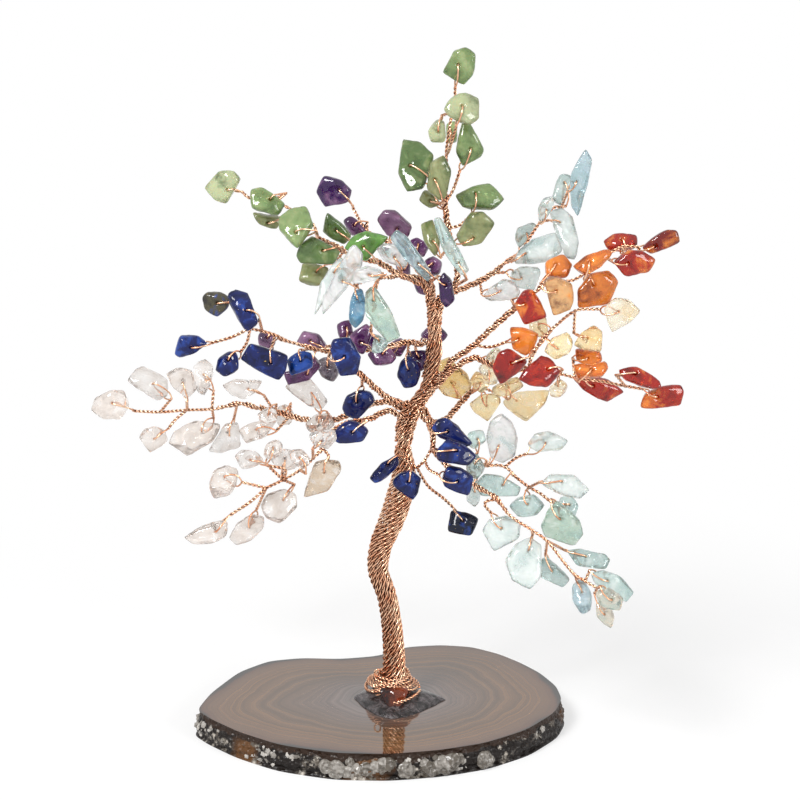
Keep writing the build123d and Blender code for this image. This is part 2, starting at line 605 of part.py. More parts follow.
class Setting:
    """How one stone sits: its plane, its outline there, its hole, and where its loop is twisted shut."""

    def __init__(self, bough, stone, turn):
        way = stone.way[-1] if stone.way else stone.twist
        self.joint = nearest_place(bough, way)
        back = self.joint.Y + stone.layer * layer_step
        middle = (sum(p[0] for p in stone.outline) / len(stone.outline),
                  sum(p[1] for p in stone.outline) / len(stone.outline))
        facing = Plane(origin=eye.seen(middle, back), x_dir=(1, 0, 0), z_dir=(0, -eye.level, eye.dip))
        self.plane = facing.rotated((turn[1], turn[0], 0))
        self.outline = [eye.on_plane(pixel, self.plane) for pixel in stone.outline]
        self.hole = eye.on_plane(stone.hole, self.plane)
        twist = eye.on_plane(stone.twist, self.plane)
        self.out = (twist - self.hole).normalized()
        self.rim = self.rim_distance()
        self.reach = max((twist - self.hole).length, self.rim + twist_clearance)
        self.way = stone.way

    def rim_distance(self):
        """How far it is from the hole to the rim, towards the twist."""
        best = 0
        for start, end in zip(self.outline, self.outline[1:] + self.outline[:1]):
            side = end - start
            cross = self.out.X * side.Y - self.out.Y * side.X
            gap = start - self.hole
            if cross:
                along = (gap.X * side.Y - gap.Y * side.X) / cross
                share = (gap.X * self.out.Y - gap.Y * self.out.X) / cross
                if 0 <= share <= 1 and along > 0:
                    best = max(best, along)
        return best

    def place(self, along, height):
        spot = self.hole + self.out * along
        return self.plane.from_local_coords(Vector(spot.X, spot.Y, height))

    def loop(self):
        """Closed wire loop: over the rim, through the hole and back under the rim to the twist."""
        height = stone_thickness / 2 + fit_gap + wire_radius
        return [self.place(self.reach, 0), self.place(self.rim, height), self.place(0, height),
                self.place(0, -height), self.place(self.rim, -height), self.place(self.reach, 0)]

    def stem(self):
        """Twisted stem from the loop to the bough, by way of any bends seen in the picture."""
        start = self.place(self.reach - wire_radius, 0)
        bends = []
        for index, pixel in enumerate(self.way):
            share = (index + 1) / (len(self.way) + 1)
            bends.append(eye.seen(pixel, start.Y + (self.joint.Y - start.Y) * share))
        return [start] + bends + [self.joint]


settings = {}
for bough in boughs:
    for group, stones in bough.stones.items():
        settings[group] = []
        for stone in stones:
            turn = stone_turns[len(settings[group]) % len(stone_turns)]
            settings[group].append(Setting(bough, stone, turn))

os.makedirs("parts", exist_ok=True)

# Agate slice: a flat polished top, a crust that flares towards the underside, and a broken upper edge
top_outline = [eye.on_level(pixel, slice_thickness) for pixel in slice_pixels]
with BuildPart() as agate_slice:
    for height, growth in ((0, slice_flare / 2), (slice_thickness / 3, slice_flare),
                           (slice_thickness - slice_edge, slice_edge), (slice_thickness, 0)):
        with BuildSketch(Plane.XY.offset(height)):
            with BuildLine():
                Polyline(*[(p.X * (1 + growth / abs(p)), p.Y * (1 + growth / abs(p))) for p in top_outline],
                         close=True)
            make_face()
    loft(ruled=True)
agate_slice.part.label = "agate_slice"
export_step(agate_slice.part, "parts/agate_slice.step")

# Glue pad: a low mound on the slice that runs out to a point at each side, open where the trunk goes through
foot_centre, foot_radius = trunk_at(foot_pixel[1])
with BuildPart() as glue_pad:
    for height, share in ((0, 1), (pad_edge_height, pad_shoulder_share), (pad_height, pad_top_share)):
        with BuildSketch(Plane.XY.offset(slice_thickness + height)):
            with BuildLine():
                places = [eye.on_level(pixel, slice_thickness) for pixel in pad_pixels]
                Polyline(*[(p.X * share, p.Y * share) for p in places], close=True)
            make_face()
    loft(ruled=True)
    with BuildSketch(Plane.XY.offset(slice_thickness)):
        RegularPolygon(foot_radius + lay_gap, 12, major_radius=False)
    extrude(amount=pad_height, mode=Mode.SUBTRACT)
glue_pad.part.label = "glue_pad"
export_step(glue_pad.part, "parts/glue_pad.step")

# Trunk core: the straight inner wires, thick up to where the outer strands leave, slim above
foot_down = foot_pixel[1]
crown_down = trunk_pixels[-1][1]
with BuildPart() as trunk_core:
    low = [place for place, radius in trunk_points(foot_down - foot_lift_pixels, core_end_pixel, 10)]
    high = [place for place, radius in trunk_points(core_end_pixel, crown_down, 10)]
    low_run = tube(low, core_radius, 8)
    high_run = tube(low[-2:] + high[1:], slim_core_radius, 6)
    add([low_run, high_run])
trunk_core.part.label = "trunk_core"
export_step(trunk_core.part, "parts/trunk_core.step")

# Outer strands: laid round the core from the foot to where the lower boughs leave
with BuildPart() as outer_wires:
    stations = trunk_points(foot_down - foot_lift_pixels, outer_end_pixel, 18)
    for i in range(outer_strands):
        run = laid_strand(stations, lambda radius: radius - strand_radius, tau * i / outer_strands)
        add(tube(run, strand_radius, 4), clean=False)
outer_wires.part.label = "outer_trunk_strands"
export_step(outer_wires.part, "parts/outer_trunk_strands.step")

# Inner strands: six that go on above the outer ones, up to the crown
with BuildPart() as inner_wires:
    stations = trunk_points(outer_end_pixel - 4, crown_down, 12)
    for i in range(inner_strands):
        run = laid_strand(stations, lambda radius: slim_circle_radius, tau * i / inner_strands)
        add(tube(run, strand_radius, 4), clean=False)
inner_wires.part.label = "inner_trunk_strands"
export_step(inner_wires.part, "parts/inner_trunk_strands.step")

# Root coil: one twisted pair wound round the foot, each half turn lower and wider than the one before
coil_top_radius = foot_radius + fit_gap + pair_radius
coil_base = slice_thickness + pad_height + fit_gap + pair_radius


def coil_place(turns):
    share = turns / coil_turns
    reach = coil_spread_radius + (coil_top_radius - coil_spread_radius) * share
    height = coil_base + coil_rise * share
    return Vector(reach * cos(tau * turns), reach * sin(tau * turns), height)


def coil_heading(turns):
    step = 1 / 360
    return (coil_place(turns + step) - coil_place(turns - step)).normalized()


with BuildPart() as root_coil:
    with BuildLine() as coil_path:
        for i in range(coil_turns * 4):
            start, end = coil_place(i / 4), coil_place((i + 1) / 4)
            leave, arrive = coil_heading(i / 4), coil_heading((i + 1) / 4)
            chord = end - start
            facing = leave + arrive
            a = facing.dot(facing) - 4
            b = -2 * chord.dot(facing)
            c = chord.dot(chord)
            pull = (-b - (b * b - 4 * a * c) ** 0.5) / (2 * a)
            bend = start + leave * pull
            meeting = (bend + end - arrive * pull) * 0.5
            TangentArc(start, meeting, tangent=leave)
            TangentArc(meeting, end, tangent=(meeting - bend).normalized())
    with BuildSketch(Plane(origin=coil_path.line @ 0, z_dir=coil_path.line % 0)):
        RegularPolygon(pair_radius, 4)
    sweep()
root_coil.part.label = "root_coil"
export_step(root_coil.part, "parts/root_coil.step")
turn_step = abs(coil_place(1) - coil_place(0))
print("root coil, least gap to itself:", round(turn_step - 2 * pair_radius, 2))

# Boughs: a bundle of wires, a thinner pair further out, and a stem and a loop for every stone, all one
for bough in boughs:
    runs = []
    for index, (route, shares) in enumerate(zip(bough.routes, bough.back_shares)):
        places = route_points(route, shares)
        if index == 0:
            runs.append(tube(root_points(bough) + places[:bough.bundle_points], bundle_radius, 4))
            places = places[bough.bundle_points - 2:]
        if len(places) > 1:
            runs.append(tube(places, pair_radius, 3))
    for group in bough.stones:
        for setting in settings[group]:
            runs.append(tube(setting.stem(), pair_radius, 3))
            runs.append(tube(setting.loop(), wire_radius, 3))
    with BuildPart() as bough_wire:
        add(runs, clean=False)
    bough_wire.part.label = bough.name + "_bough_wire"
    export_step(bough_wire.part, "parts/" + bough_wire.part.label + ".step")


def drilled_stone(setting):
    """One stone: its outline cut to its thickness, drilled, and broken along its front rim."""
    with BuildPart() as gem:
        with BuildSketch(setting.plane):
            with BuildLine():
                Polyline(*[(p.X, p.Y) for p in setting.outline], close=True)
            make_face()
            with Locations((setting.hole.X, setting.hole.Y)):
                Rectangle(hole_width, hole_width,
                          rotation=atan2(setting.out.Y, setting.out.X) * 360 / tau, mode=Mode.SUBTRACT)
        extrude(amount=stone_thickness / 2, both=True)
        drilled = [face for face in gem.faces() if face.inner_wires()]
        front = max(drilled, key=lambda face: face.center().dot(setting.plane.z_dir))
        chamfer(front.outer_wire().edges(), stone_edge)
    return gem.part


# Stones, a group for each kind on a bough: identical work, so each group is one sub-part
for group, group_settings in settings.items():
    drilled = [drilled_stone(setting) for setting in group_settings]
    with BuildPart() as gems:
        add(drilled)
    gems.part.label = group
    export_step(gems.part, "parts/" + group + ".step")
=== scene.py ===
# %% [markdown]
# # A gemstone tree on a slice of agate
#
# The real object is made by hand. Copper wires are twisted in pairs, each pair closes a loop round one
# drilled chip of stone, the pairs are gathered into boughs, the boughs into a trunk, and the trunk's ends
# are wound round the foot and glued to a polished slice of agate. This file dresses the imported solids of
# that tree: every wire becomes a real twisted pair, every flat-sided stone a tumbled chip, and every surface
# gets its finish.

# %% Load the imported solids
import json
import random
from math import atan, ceil, cos, exp, hypot, pi, radians, sin, tau
from typing import NamedTuple

import bmesh
import bpy
from mathutils import Matrix, Vector, noise
from mathutils.bvhtree import BVHTree
from mathutils.geometry import interpolate_bezier


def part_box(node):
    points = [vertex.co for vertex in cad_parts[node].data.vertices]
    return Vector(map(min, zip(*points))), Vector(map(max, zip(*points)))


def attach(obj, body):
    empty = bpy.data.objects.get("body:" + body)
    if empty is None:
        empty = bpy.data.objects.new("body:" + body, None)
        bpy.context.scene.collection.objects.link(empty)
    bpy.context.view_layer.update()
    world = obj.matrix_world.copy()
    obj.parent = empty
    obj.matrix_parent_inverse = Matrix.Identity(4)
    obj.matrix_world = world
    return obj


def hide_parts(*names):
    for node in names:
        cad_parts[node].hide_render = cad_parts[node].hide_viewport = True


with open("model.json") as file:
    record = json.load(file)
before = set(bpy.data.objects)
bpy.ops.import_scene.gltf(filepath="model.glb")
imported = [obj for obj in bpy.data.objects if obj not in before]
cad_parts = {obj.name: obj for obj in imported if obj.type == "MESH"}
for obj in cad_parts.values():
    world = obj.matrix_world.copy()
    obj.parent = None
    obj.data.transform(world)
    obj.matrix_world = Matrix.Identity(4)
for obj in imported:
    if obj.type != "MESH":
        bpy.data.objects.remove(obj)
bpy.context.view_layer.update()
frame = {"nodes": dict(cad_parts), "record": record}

# %% [markdown]
# ## Where the eye stands
#
# The tree was read off a picture, so its routes are pixels, and a pixel becomes a place once its distance
# back is known. The same eye is used for the camera, which is why the render and the picture can be laid
# over each other. The eye looks 20 degrees down from 0.9 m away.

# %% The eye and its camera
photo_pixel = 0.000285
eye_distance = 0.9
eye_angle = radians(20)
middle_pixel = 400
foot_pixel = (392, 697)
tree_reach = 0.04
slice_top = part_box("agate_slice")[1].z
level, dip = cos(eye_angle), sin(eye_angle)


def ray(pixel):
    """The direction in which the eye sees a pixel."""
    across = (pixel[0] - middle_pixel) * photo_pixel / eye_distance
    up = (middle_pixel - pixel[1]) * photo_pixel / eye_distance
    return Vector((across, level + up * dip, up * level - dip))


eye = Vector((0, -eye_distance * level, eye_distance * dip))
foot = eye - ray(foot_pixel) * (eye.y / ray(foot_pixel).y)
eye += Vector((-foot.x, 0, slice_top - foot.z))


def seen(pixel, back):
    """The place of a pixel that lies this far back."""
    return eye + ray(pixel) * ((back - eye.y) / ray(pixel).y)


def seen_on(pixel, place, normal):
    """The place of a pixel on the plane through a place."""
    return eye + ray(pixel) * ((place - eye).dot(normal) / ray(pixel).dot(normal))


scene = bpy.context.scene


def linked(name, data):
    """A new object in the scene."""
    made = bpy.data.objects.new(name, data)
    scene.collection.objects.link(made)
    return made


lens = bpy.data.cameras.new("eye")
lens.sensor_fit = "HORIZONTAL"
lens.angle = 2 * atan(middle_pixel * photo_pixel / eye_distance)
camera = linked("eye", lens)
camera.location = eye
camera.rotation_euler = (radians(90) - eye_angle, 0, 0)
scene.camera = camera
print("the eye is at", [round(x, 4) for x in eye])

# %% [markdown]
# ## Finishes are small node trees
#
# Every finish starts from the Principled shader. `add` puts one node into a tree and `feed` gives a node its
# inputs, so that a pattern reads from top to bottom: a coordinate, a noise, a range, a colour. Colours are
# written as the eye sees them and turned into the shader's linear light once, in `shade`.

# %% Helpers for finishes


def shade(code):
    """A colour written like 8f8480, as linear light."""
    parts = [int(code[i:i + 2], 16) / 255 for i in (0, 2, 4)]
    return tuple(p / 12.92 if p <= 0.04045 else ((p + 0.055) / 1.055) ** 2.4 for p in parts) + (1.0,)


def feed(tree, node, inputs):
    """Sets inputs of a node; each is a value or another node's output."""
    for name, value in inputs.items():
        if isinstance(value, bpy.types.NodeSocket):
            tree.links.new(value, node.inputs[name])
        else:
            node.inputs[name].default_value = value
    return node


def add(tree, kind, inputs=None, **settings):
    """One more node of a tree."""
    made = tree.nodes.new("ShaderNode" + kind)
    for name, value in settings.items():
        setattr(made, name, value)
    return feed(tree, made, inputs or {})


def blended(tree, share, first, second):
    """A colour between two colours; a colour is a code or another node's output."""
    first, second = (shade(value) if isinstance(value, str) else value for value in (first, second))
    return feed(tree, add(tree, "Mix", data_type="RGBA"), {0: share, 6: first, 7: second}).outputs[2]


def ranged(tree, value, low, high, to_low=0.0, to_high=1.0):
    """A value stretched from one range to another, and held inside it."""
    return add(tree, "MapRange", {"Value": value, "From Min": low, "From Max": high,
                                  "To Min": to_low, "To Max": to_high}).outputs["Result"]


def worked(tree, operation, first, second):
    """Two values made into one, by a sum, a product or a comparison."""
    return add(tree, "Math", {0: first, 1: second}, operation=operation).outputs[0]


def stored(tree, name, output="Fac"):
    """A value that each point of the mesh carries."""
    return add(tree, "Attribute", attribute_name=name).outputs[output]


def own_place(tree):
    """The piece's own coordinates, which stay with it when it is moved."""
    return add(tree, "TexCoord").outputs["Object"]


def own_axis(tree, axis):
    return add(tree, "SeparateXYZ", {"Vector": own_place(tree)}).outputs[axis]


def grained(tree, scale, detail=4.0, roughness=0.55, distortion=0.0, w=0.0):
    """A noise on the piece's own place, `scale` waves a metre."""
    return add(tree, "TexNoise", {"Vector": own_place(tree), "W": w, "Scale": scale, "Detail": detail,
                                  "Roughness": roughness, "Distortion": distortion},
               noise_dimensions="4D").outputs["Fac"]


def finish(name):
    """A new material: its tree and its shader."""
    material = bpy.data.materials.new(name)
    material.use_nodes = True
    tree = material.node_tree
    return material, tree, tree.nodes["Principled BSDF"]


def bumped(tree, shader, height, distance, strength=1.0):
    """Relief too fine to model."""
    bump = add(tree, "Bump", {"Height": height, "Distance": distance, "Strength": strength})
    feed(tree, shader, {"Normal": bump.outputs["Normal"]})


# %% [markdown]
# ## From a solid to a piece
#
# Shapes are worked on as a bmesh, Blender's open mesh. `packed` opens a node of the imported solids, `baked`
# closes a bmesh into a mesh, and `evaluated` does it for a curve's round section or a modifier. `dress`
# makes the piece: its finish, the body that it rides on and the nodes that it stands for.

# %% Helpers for pieces


def opened(mesh):
    """An open copy of a mesh."""
    form = bmesh.new()
    form.from_mesh(mesh)
    return form


def packed(node):
    """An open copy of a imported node, with its double vertices merged."""
    form = opened(frame["nodes"][node].data)
    bmesh.ops.remove_doubles(form, verts=form.verts, dist=1e-6)
    return form


def baked(name, form):
    """The mesh of a bmesh, which is freed."""
    mesh = bpy.data.meshes.new(name)
    form.to_mesh(mesh)
    form.free()
    return mesh


def evaluated(draft):
    """The mesh that a draft object shows; the draft is removed."""
    bpy.context.view_layer.update()
    made = bpy.data.meshes.new_from_object(draft.evaluated_get(bpy.context.evaluated_depsgraph_get()))
    bpy.data.objects.remove(draft)
    return made


def smoothed(mesh):
    """The same mesh, shaded without facets."""
    mesh.polygons.foreach_set("use_smooth", [True] * len(mesh.polygons))
    return mesh


def dress(name, mesh, material, slot, *nodes):
    """Turns a mesh into a finished piece that stands for some nodes."""
    piece = linked(name, mesh)
    for each in material if isinstance(material, list) else [material]:
        mesh.materials.append(each)
    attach(piece, "root")
    if nodes:
        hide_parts(*nodes)
    print(name, sum(len(face.vertices) - 2 for face in mesh.polygons), "triangles")


# %% [markdown]
# ## Copper
#
# Bare copper wire is a warm metal, a little uneven from drawing and handling, with a few tarnished patches. It
# shines along the crown of each turn, where hands rub it. In the grooves between two wires the colour is
# painted
# a dark red brown: painted shade, where the wires close each other in. So every wire carries a value that says
# how closed in it is, and the finish turns that into painted shade and a rougher gloss.

# %% Copper finish
copper, tree, shader = finish("bright_copper_wire")
# How closed in each point is, as stored on the wires; below it darkens the colour as painted shade
occlusion = stored(tree, "occlusion")
tone = ranged(tree, grained(tree, 260.0, 5.0, 0.6), 0.35, 0.65)
rubbed = blended(tree, tone, "e8a078", "fdd8b8")
# A dark red brown: the colour of the tarnished patches, and also the painted shade in the grooves between
# wires
tarnish_and_shade = blended(tree, tone, "340a0a", "641c10")
patches = ranged(tree, grained(tree, 520.0, 3.0, 0.6, 0.4, 3.0), 0.52, 0.64, 0.0, 0.3)
handled = blended(tree, patches, rubbed, tarnish_and_shade)
# Where a point is closed in, the colour goes to the dark red brown: painted shade in the grooves between wires
feed(tree, shader, {
    "Base Color": blended(tree, ranged(tree, occlusion, 0.05, 0.36), handled, tarnish_and_shade),
    "Roughness": ranged(tree, occlusion, 0.0, 1.0, 0.16, 0.5), "Metallic": 1.0,
})
bumped(tree, shader, grained(tree, 5200.0, 2.0), 0.00004, 0.5)

# %% [markdown]
# ## Lines and wires
#
# A twisted pair is two wires that wind round one line. So a wire is made in three steps: a smooth line
# through the places that the picture gives, a frame carried along it that turns no more than the line does,
# and a helix in that frame. Blender's curve gives the helix its round section, which is why the script holds
# no list of faces for it.

# %% Helpers for wires
wire_radius = 0.00025
pair_pitch = 0.0026
helix_step = pair_pitch / 8
occlusion_reach = 0.0007


def part_way(start, end, share):
    return start + (end - start) * share


def smooth_line(places, step=helix_step):
    """A smooth line through some places, cut into steps."""
    line = [places[0]]
    for index in range(len(places) - 1):
        start, end = places[index], places[index + 1]
        before = places[max(index - 1, 0)]
        after = places[min(index + 2, len(places) - 1)]
        pull = (end - start).length / 3
        count = ceil((end - start).length / step) + 1
        leave = start + (end - before).normalized() * pull
        arrive = end - (after - start).normalized() * pull
        line += interpolate_bezier(start, leave, arrive, end, count)[1:]
    return line


def wound_round(line, reach, pitch, phase):
    """The line of a wire that winds round another line; reach is one distance, or one for each place."""
    wound = []
    run = 0.0
    side = None
    for index, place in enumerate(line):
        heading = (line[min(index + 1, len(line) - 1)] - line[max(index - 1, 0)]).normalized()
        side = side or heading.orthogonal()
        side = (side - heading * side.dot(heading)).normalized()
        run += (place - line[max(index - 1, 0)]).length
        angle = phase + tau * run / pitch
        away = reach[index] if isinstance(reach, list) else reach
        wound.append(place + (side * cos(angle) + heading.cross(side) * sin(angle)) * away)
    return wound


class WireWork:
    """Wires of one piece, gathered as a curve and turned into one mesh."""

    def __init__(self, name):
        self.name = name
        self.curve = bpy.data.curves.new(name, "CURVE")
        self.curve.dimensions = "3D"
        self.curve.fill_mode = "FULL"
        self.curve.bevel_depth = wire_radius
        self.curve.bevel_resolution = 1
        self.curve.use_fill_caps = True

    def wire(self, line):
        spline = self.curve.splines.new("POLY")
        spline.points.add(len(line) - 1)
        spline.points.foreach_set("co", [x for place in line for x in (*place, 1.0)])

    def pair(self, line, phase=0.0, pitch=pair_pitch):
        for turn in (0, pi):
            self.wire(wound_round(line, wire_radius, pitch, phase + turn))

    def mesh(self):
        """One mesh of all the wires, with a value for how closed in each point is."""
        made = smoothed(evaluated(linked(self.name + "_draft", self.curve)))
        wires = opened(made)
        tree = BVHTree.FromBMesh(wires)
        closed = []
        for vert in wires.verts:
            first = vert.normal.orthogonal().normalized()
            sides = (first, -first, vert.normal.cross(first), -vert.normal.cross(first))
            ways = [vert.normal] + [vert.normal * 0.7 + side * 0.7 for side in sides]
            start = vert.co + vert.normal * wire_radius * 0.05
            hits = [tree.ray_cast(start, way, occlusion_reach)[3] for way in ways]
            closed.append(sum(1 - hit / occlusion_reach for hit in hits if hit is not None) / len(ways))
        wires.free()
        # How closed in each point is; the copper finish darkens the grooves with it as painted shade
        made.attributes.new("occlusion", "FLOAT", "POINT").data.foreach_set("value", closed)
        return made

    def done(self, node):
        """Dresses the wires as one piece that stands for a node."""
        dress(self.name, self.mesh(), copper, "copper_wire", node)


# %% [markdown]
# ## Trunk
#
# The trunk is a rope. A few straight pairs make its heart, fourteen pairs lie round them up to where the low
# boughs leave, and eight go on to the crown. Each is laid at a steady pitch, rising to the right in front,
# and its two wires turn more slowly than those of a twig. At the foot the pairs spread into the glue.

# %% Trunk line
trunk_pixels = [
    (392, 697, 25), (394, 662, 24), (392, 629, 22), (387, 597, 21), (378, 569, 22), (381, 545, 24),
    (391, 521, 27), (399, 497, 28), (404, 473, 25), (403, 447, 17), (407, 420, 17), (415, 404, 17),
    (425, 390, 17), (432, 370, 17), (436, 350, 17), (434, 330, 17), (435, 308, 17),
]
lay_pitch = 0.034
strand_radius = 2 * wire_radius
trunk_places = [seen((across, down), 0) for across, down, wide in trunk_pixels]


def trunk_at(down):
    """The trunk's centre and radius at one height of the picture."""
    for (x0, y0, w0), (x1, y1, w1) in zip(trunk_pixels, trunk_pixels[1:]):
        if y1 <= down <= y0:
            share = (y0 - down) / (y0 - y1)
            return seen((part_way(x0, x1, share), down), 0), part_way(w0, w1, share) * photo_pixel / 2
    raise ValueError("no trunk at this height")


def trunk_line(first, last):
    """(centre, radius) along the smooth trunk between two heights of the picture."""
    low, high = trunk_at(first)[0].z, trunk_at(last)[0].z
    heights = [place.z for place in trunk_places]
    line = []
    for place in smooth_line(trunk_places):
        if low <= place.z <= high:
            index = max(i for i in range(len(heights) - 1) if heights[i] <= place.z)
            share = (place.z - heights[index]) / (heights[index + 1] - heights[index])
            wide = part_way(trunk_pixels[index][2], trunk_pixels[index + 1][2], share)
            line.append((place, wide * photo_pixel / 2))
    return line


def laid_strand(line, circle, phase):
    """A strand that winds round the trunk; circle gives its distance from the centre."""
    strand = []
    run = 0.0
    for index, (centre, radius) in enumerate(line):
        heading = line[min(index + 1, len(line) - 1)][0] - line[max(index - 1, 0)][0]
        side = Vector((0, 1, 0)).cross(heading).normalized()
        run += (centre - line[max(index - 1, 0)][0]).length
        angle = phase + tau * run / lay_pitch
        strand.append(centre + (side * cos(angle) + Vector((0, sin(angle), 0))) * circle(centre, radius))
    return strand


# %% Trunk pieces
foot_spread = 0.0036
spread_height = 0.0095
trunk_pair_pitch = 0.0056
upper_draw = 0.74


def outer_circle(centre, radius):
    low = max(0.0, 1 - (centre.z - slice_top) / spread_height)
    return radius - strand_radius + foot_spread * low ** 1.5


def upper_circle(centre, radius):
    return (radius - strand_radius) * upper_draw


def lay(work, count, line, circle, turn, pitch=pair_pitch):
    """Lays some pairs side by side round the trunk, each turned a little further than the last."""
    for i in range(count):
        work.pair(laid_strand(line, circle, tau * i / count), i * turn, pitch)


rope = WireWork("trunk_rope")
lay(rope, 14, trunk_line(696, 447), outer_circle, 1.9, trunk_pair_pitch)
rope.done("outer_trunk_strands")

heart = WireWork("trunk_heart")
lay(heart, 11, trunk_line(694, 470), lambda centre, radius: 0.0018, 1.3)
lay(heart, 4, trunk_line(480, 309), lambda centre, radius: 0.0007, 1.1)
heart.done("trunk_core")

upper = WireWork("upper_trunk_rope")
lay(upper, 8, trunk_line(474, 308), upper_circle, 2.3, trunk_pair_pitch)
upper.done("inner_trunk_strands")

# %% [markdown]
# ## Root windings
#
# The ends of the trunk's wires are wound round the foot, each turn lower and wider than the one before, and
# sink into the glue. Three pairs side by side fill the windings. They wander a little, because they were
# wound by hand, and in front the lowest turn arches over a drop of dark red glue. One end lies in front of
# the drop, and on the left a stray end stands out in a small loop.

# %% Root windings
coil_turns, coil_steps = 3, 90
coil_top_radius = trunk_at(foot_pixel[1])[1] + 0.00085
coil_foot_radius = 0.0082
coil_base = slice_top + 0.00325
coil_rise = 0.005
coil_sink = 0.0002
wander_out, wander_up = 0.0004, 0.0005
arch_rise, arch_pull, arch_width = 0.0030, 0.0009, 0.75
front_end = [(0.0003, -0.0098, 0.0026), (0.0035, -0.0092, 0.0031), (0.0068, -0.0062, 0.0034),
             (0.0083, -0.002, 0.0030)]
stray_loop = [(-0.0034, -0.002, 0.0066), (-0.0051, -0.0024, 0.0084), (-0.0048, -0.0026, 0.0098),
              (-0.0037, -0.0024, 0.0100), (-0.0034, -0.0016, 0.0084)]


def coil_line(start_angle, wander):
    """One line of the windings; an arch lifts it where it passes the front low down."""
    line = []
    for step in range(coil_turns * coil_steps + 1):
        share = step / (coil_turns * coil_steps)
        angle = tau * step / coil_steps + start_angle
        from_front = (angle + pi / 2 + pi) % tau - pi
        arch = exp(-(from_front / arch_width) ** 2) * (1 - share) ** 2
        reach = part_way(coil_foot_radius, coil_top_radius, share)
        reach += wander_out * sin(angle * 0.7 + wander) - arch_pull * arch - coil_sink
        height = coil_base + coil_rise * share + wander_up * sin(angle * 1.3 + wander) + arch_rise * arch
        line.append(Vector((reach * cos(angle), reach * sin(angle), height - coil_sink)))
    return smooth_line(line)


def above_slice(x, y, height):
    return Vector((x, y, slice_top + height))


windings = WireWork("root_windings")
for turn, (start_angle, wander) in enumerate([(0.0, 0.0), (pi, 2.0), (pi / 2, 1.0)]):
    windings.pair(coil_line(start_angle, wander), turn)
windings.pair(smooth_line([above_slice(*place) for place in front_end]))
windings.wire(smooth_line([above_slice(*place) for place in stray_loop]))
windings.done("root_coil")

# %% [markdown]
# ## The tree in a table
#
# Each bough has the height of the picture where it leaves the trunk, the way it leaves, its routes, how far
# back they lie, and how many points of the first route are a thick bundle. Each route and each stone is one
# row of numbers, two to a pixel. A stone's row has its drilled hole, the twist that closes its loop, and any
# bends of its twig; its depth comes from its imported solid. The letters before the rows are the stones'
# tints, which stand further down.

# %% Boughs and stones, as seen


def pixels(row):
    """The pixels of a row; two numbers make one."""
    return list(zip(row[::2], row[1::2]))


class Bough(NamedTuple):
    name: str
    leave: int
    angle: float
    routes: list
    shares: list
    thick: int
    stones: dict


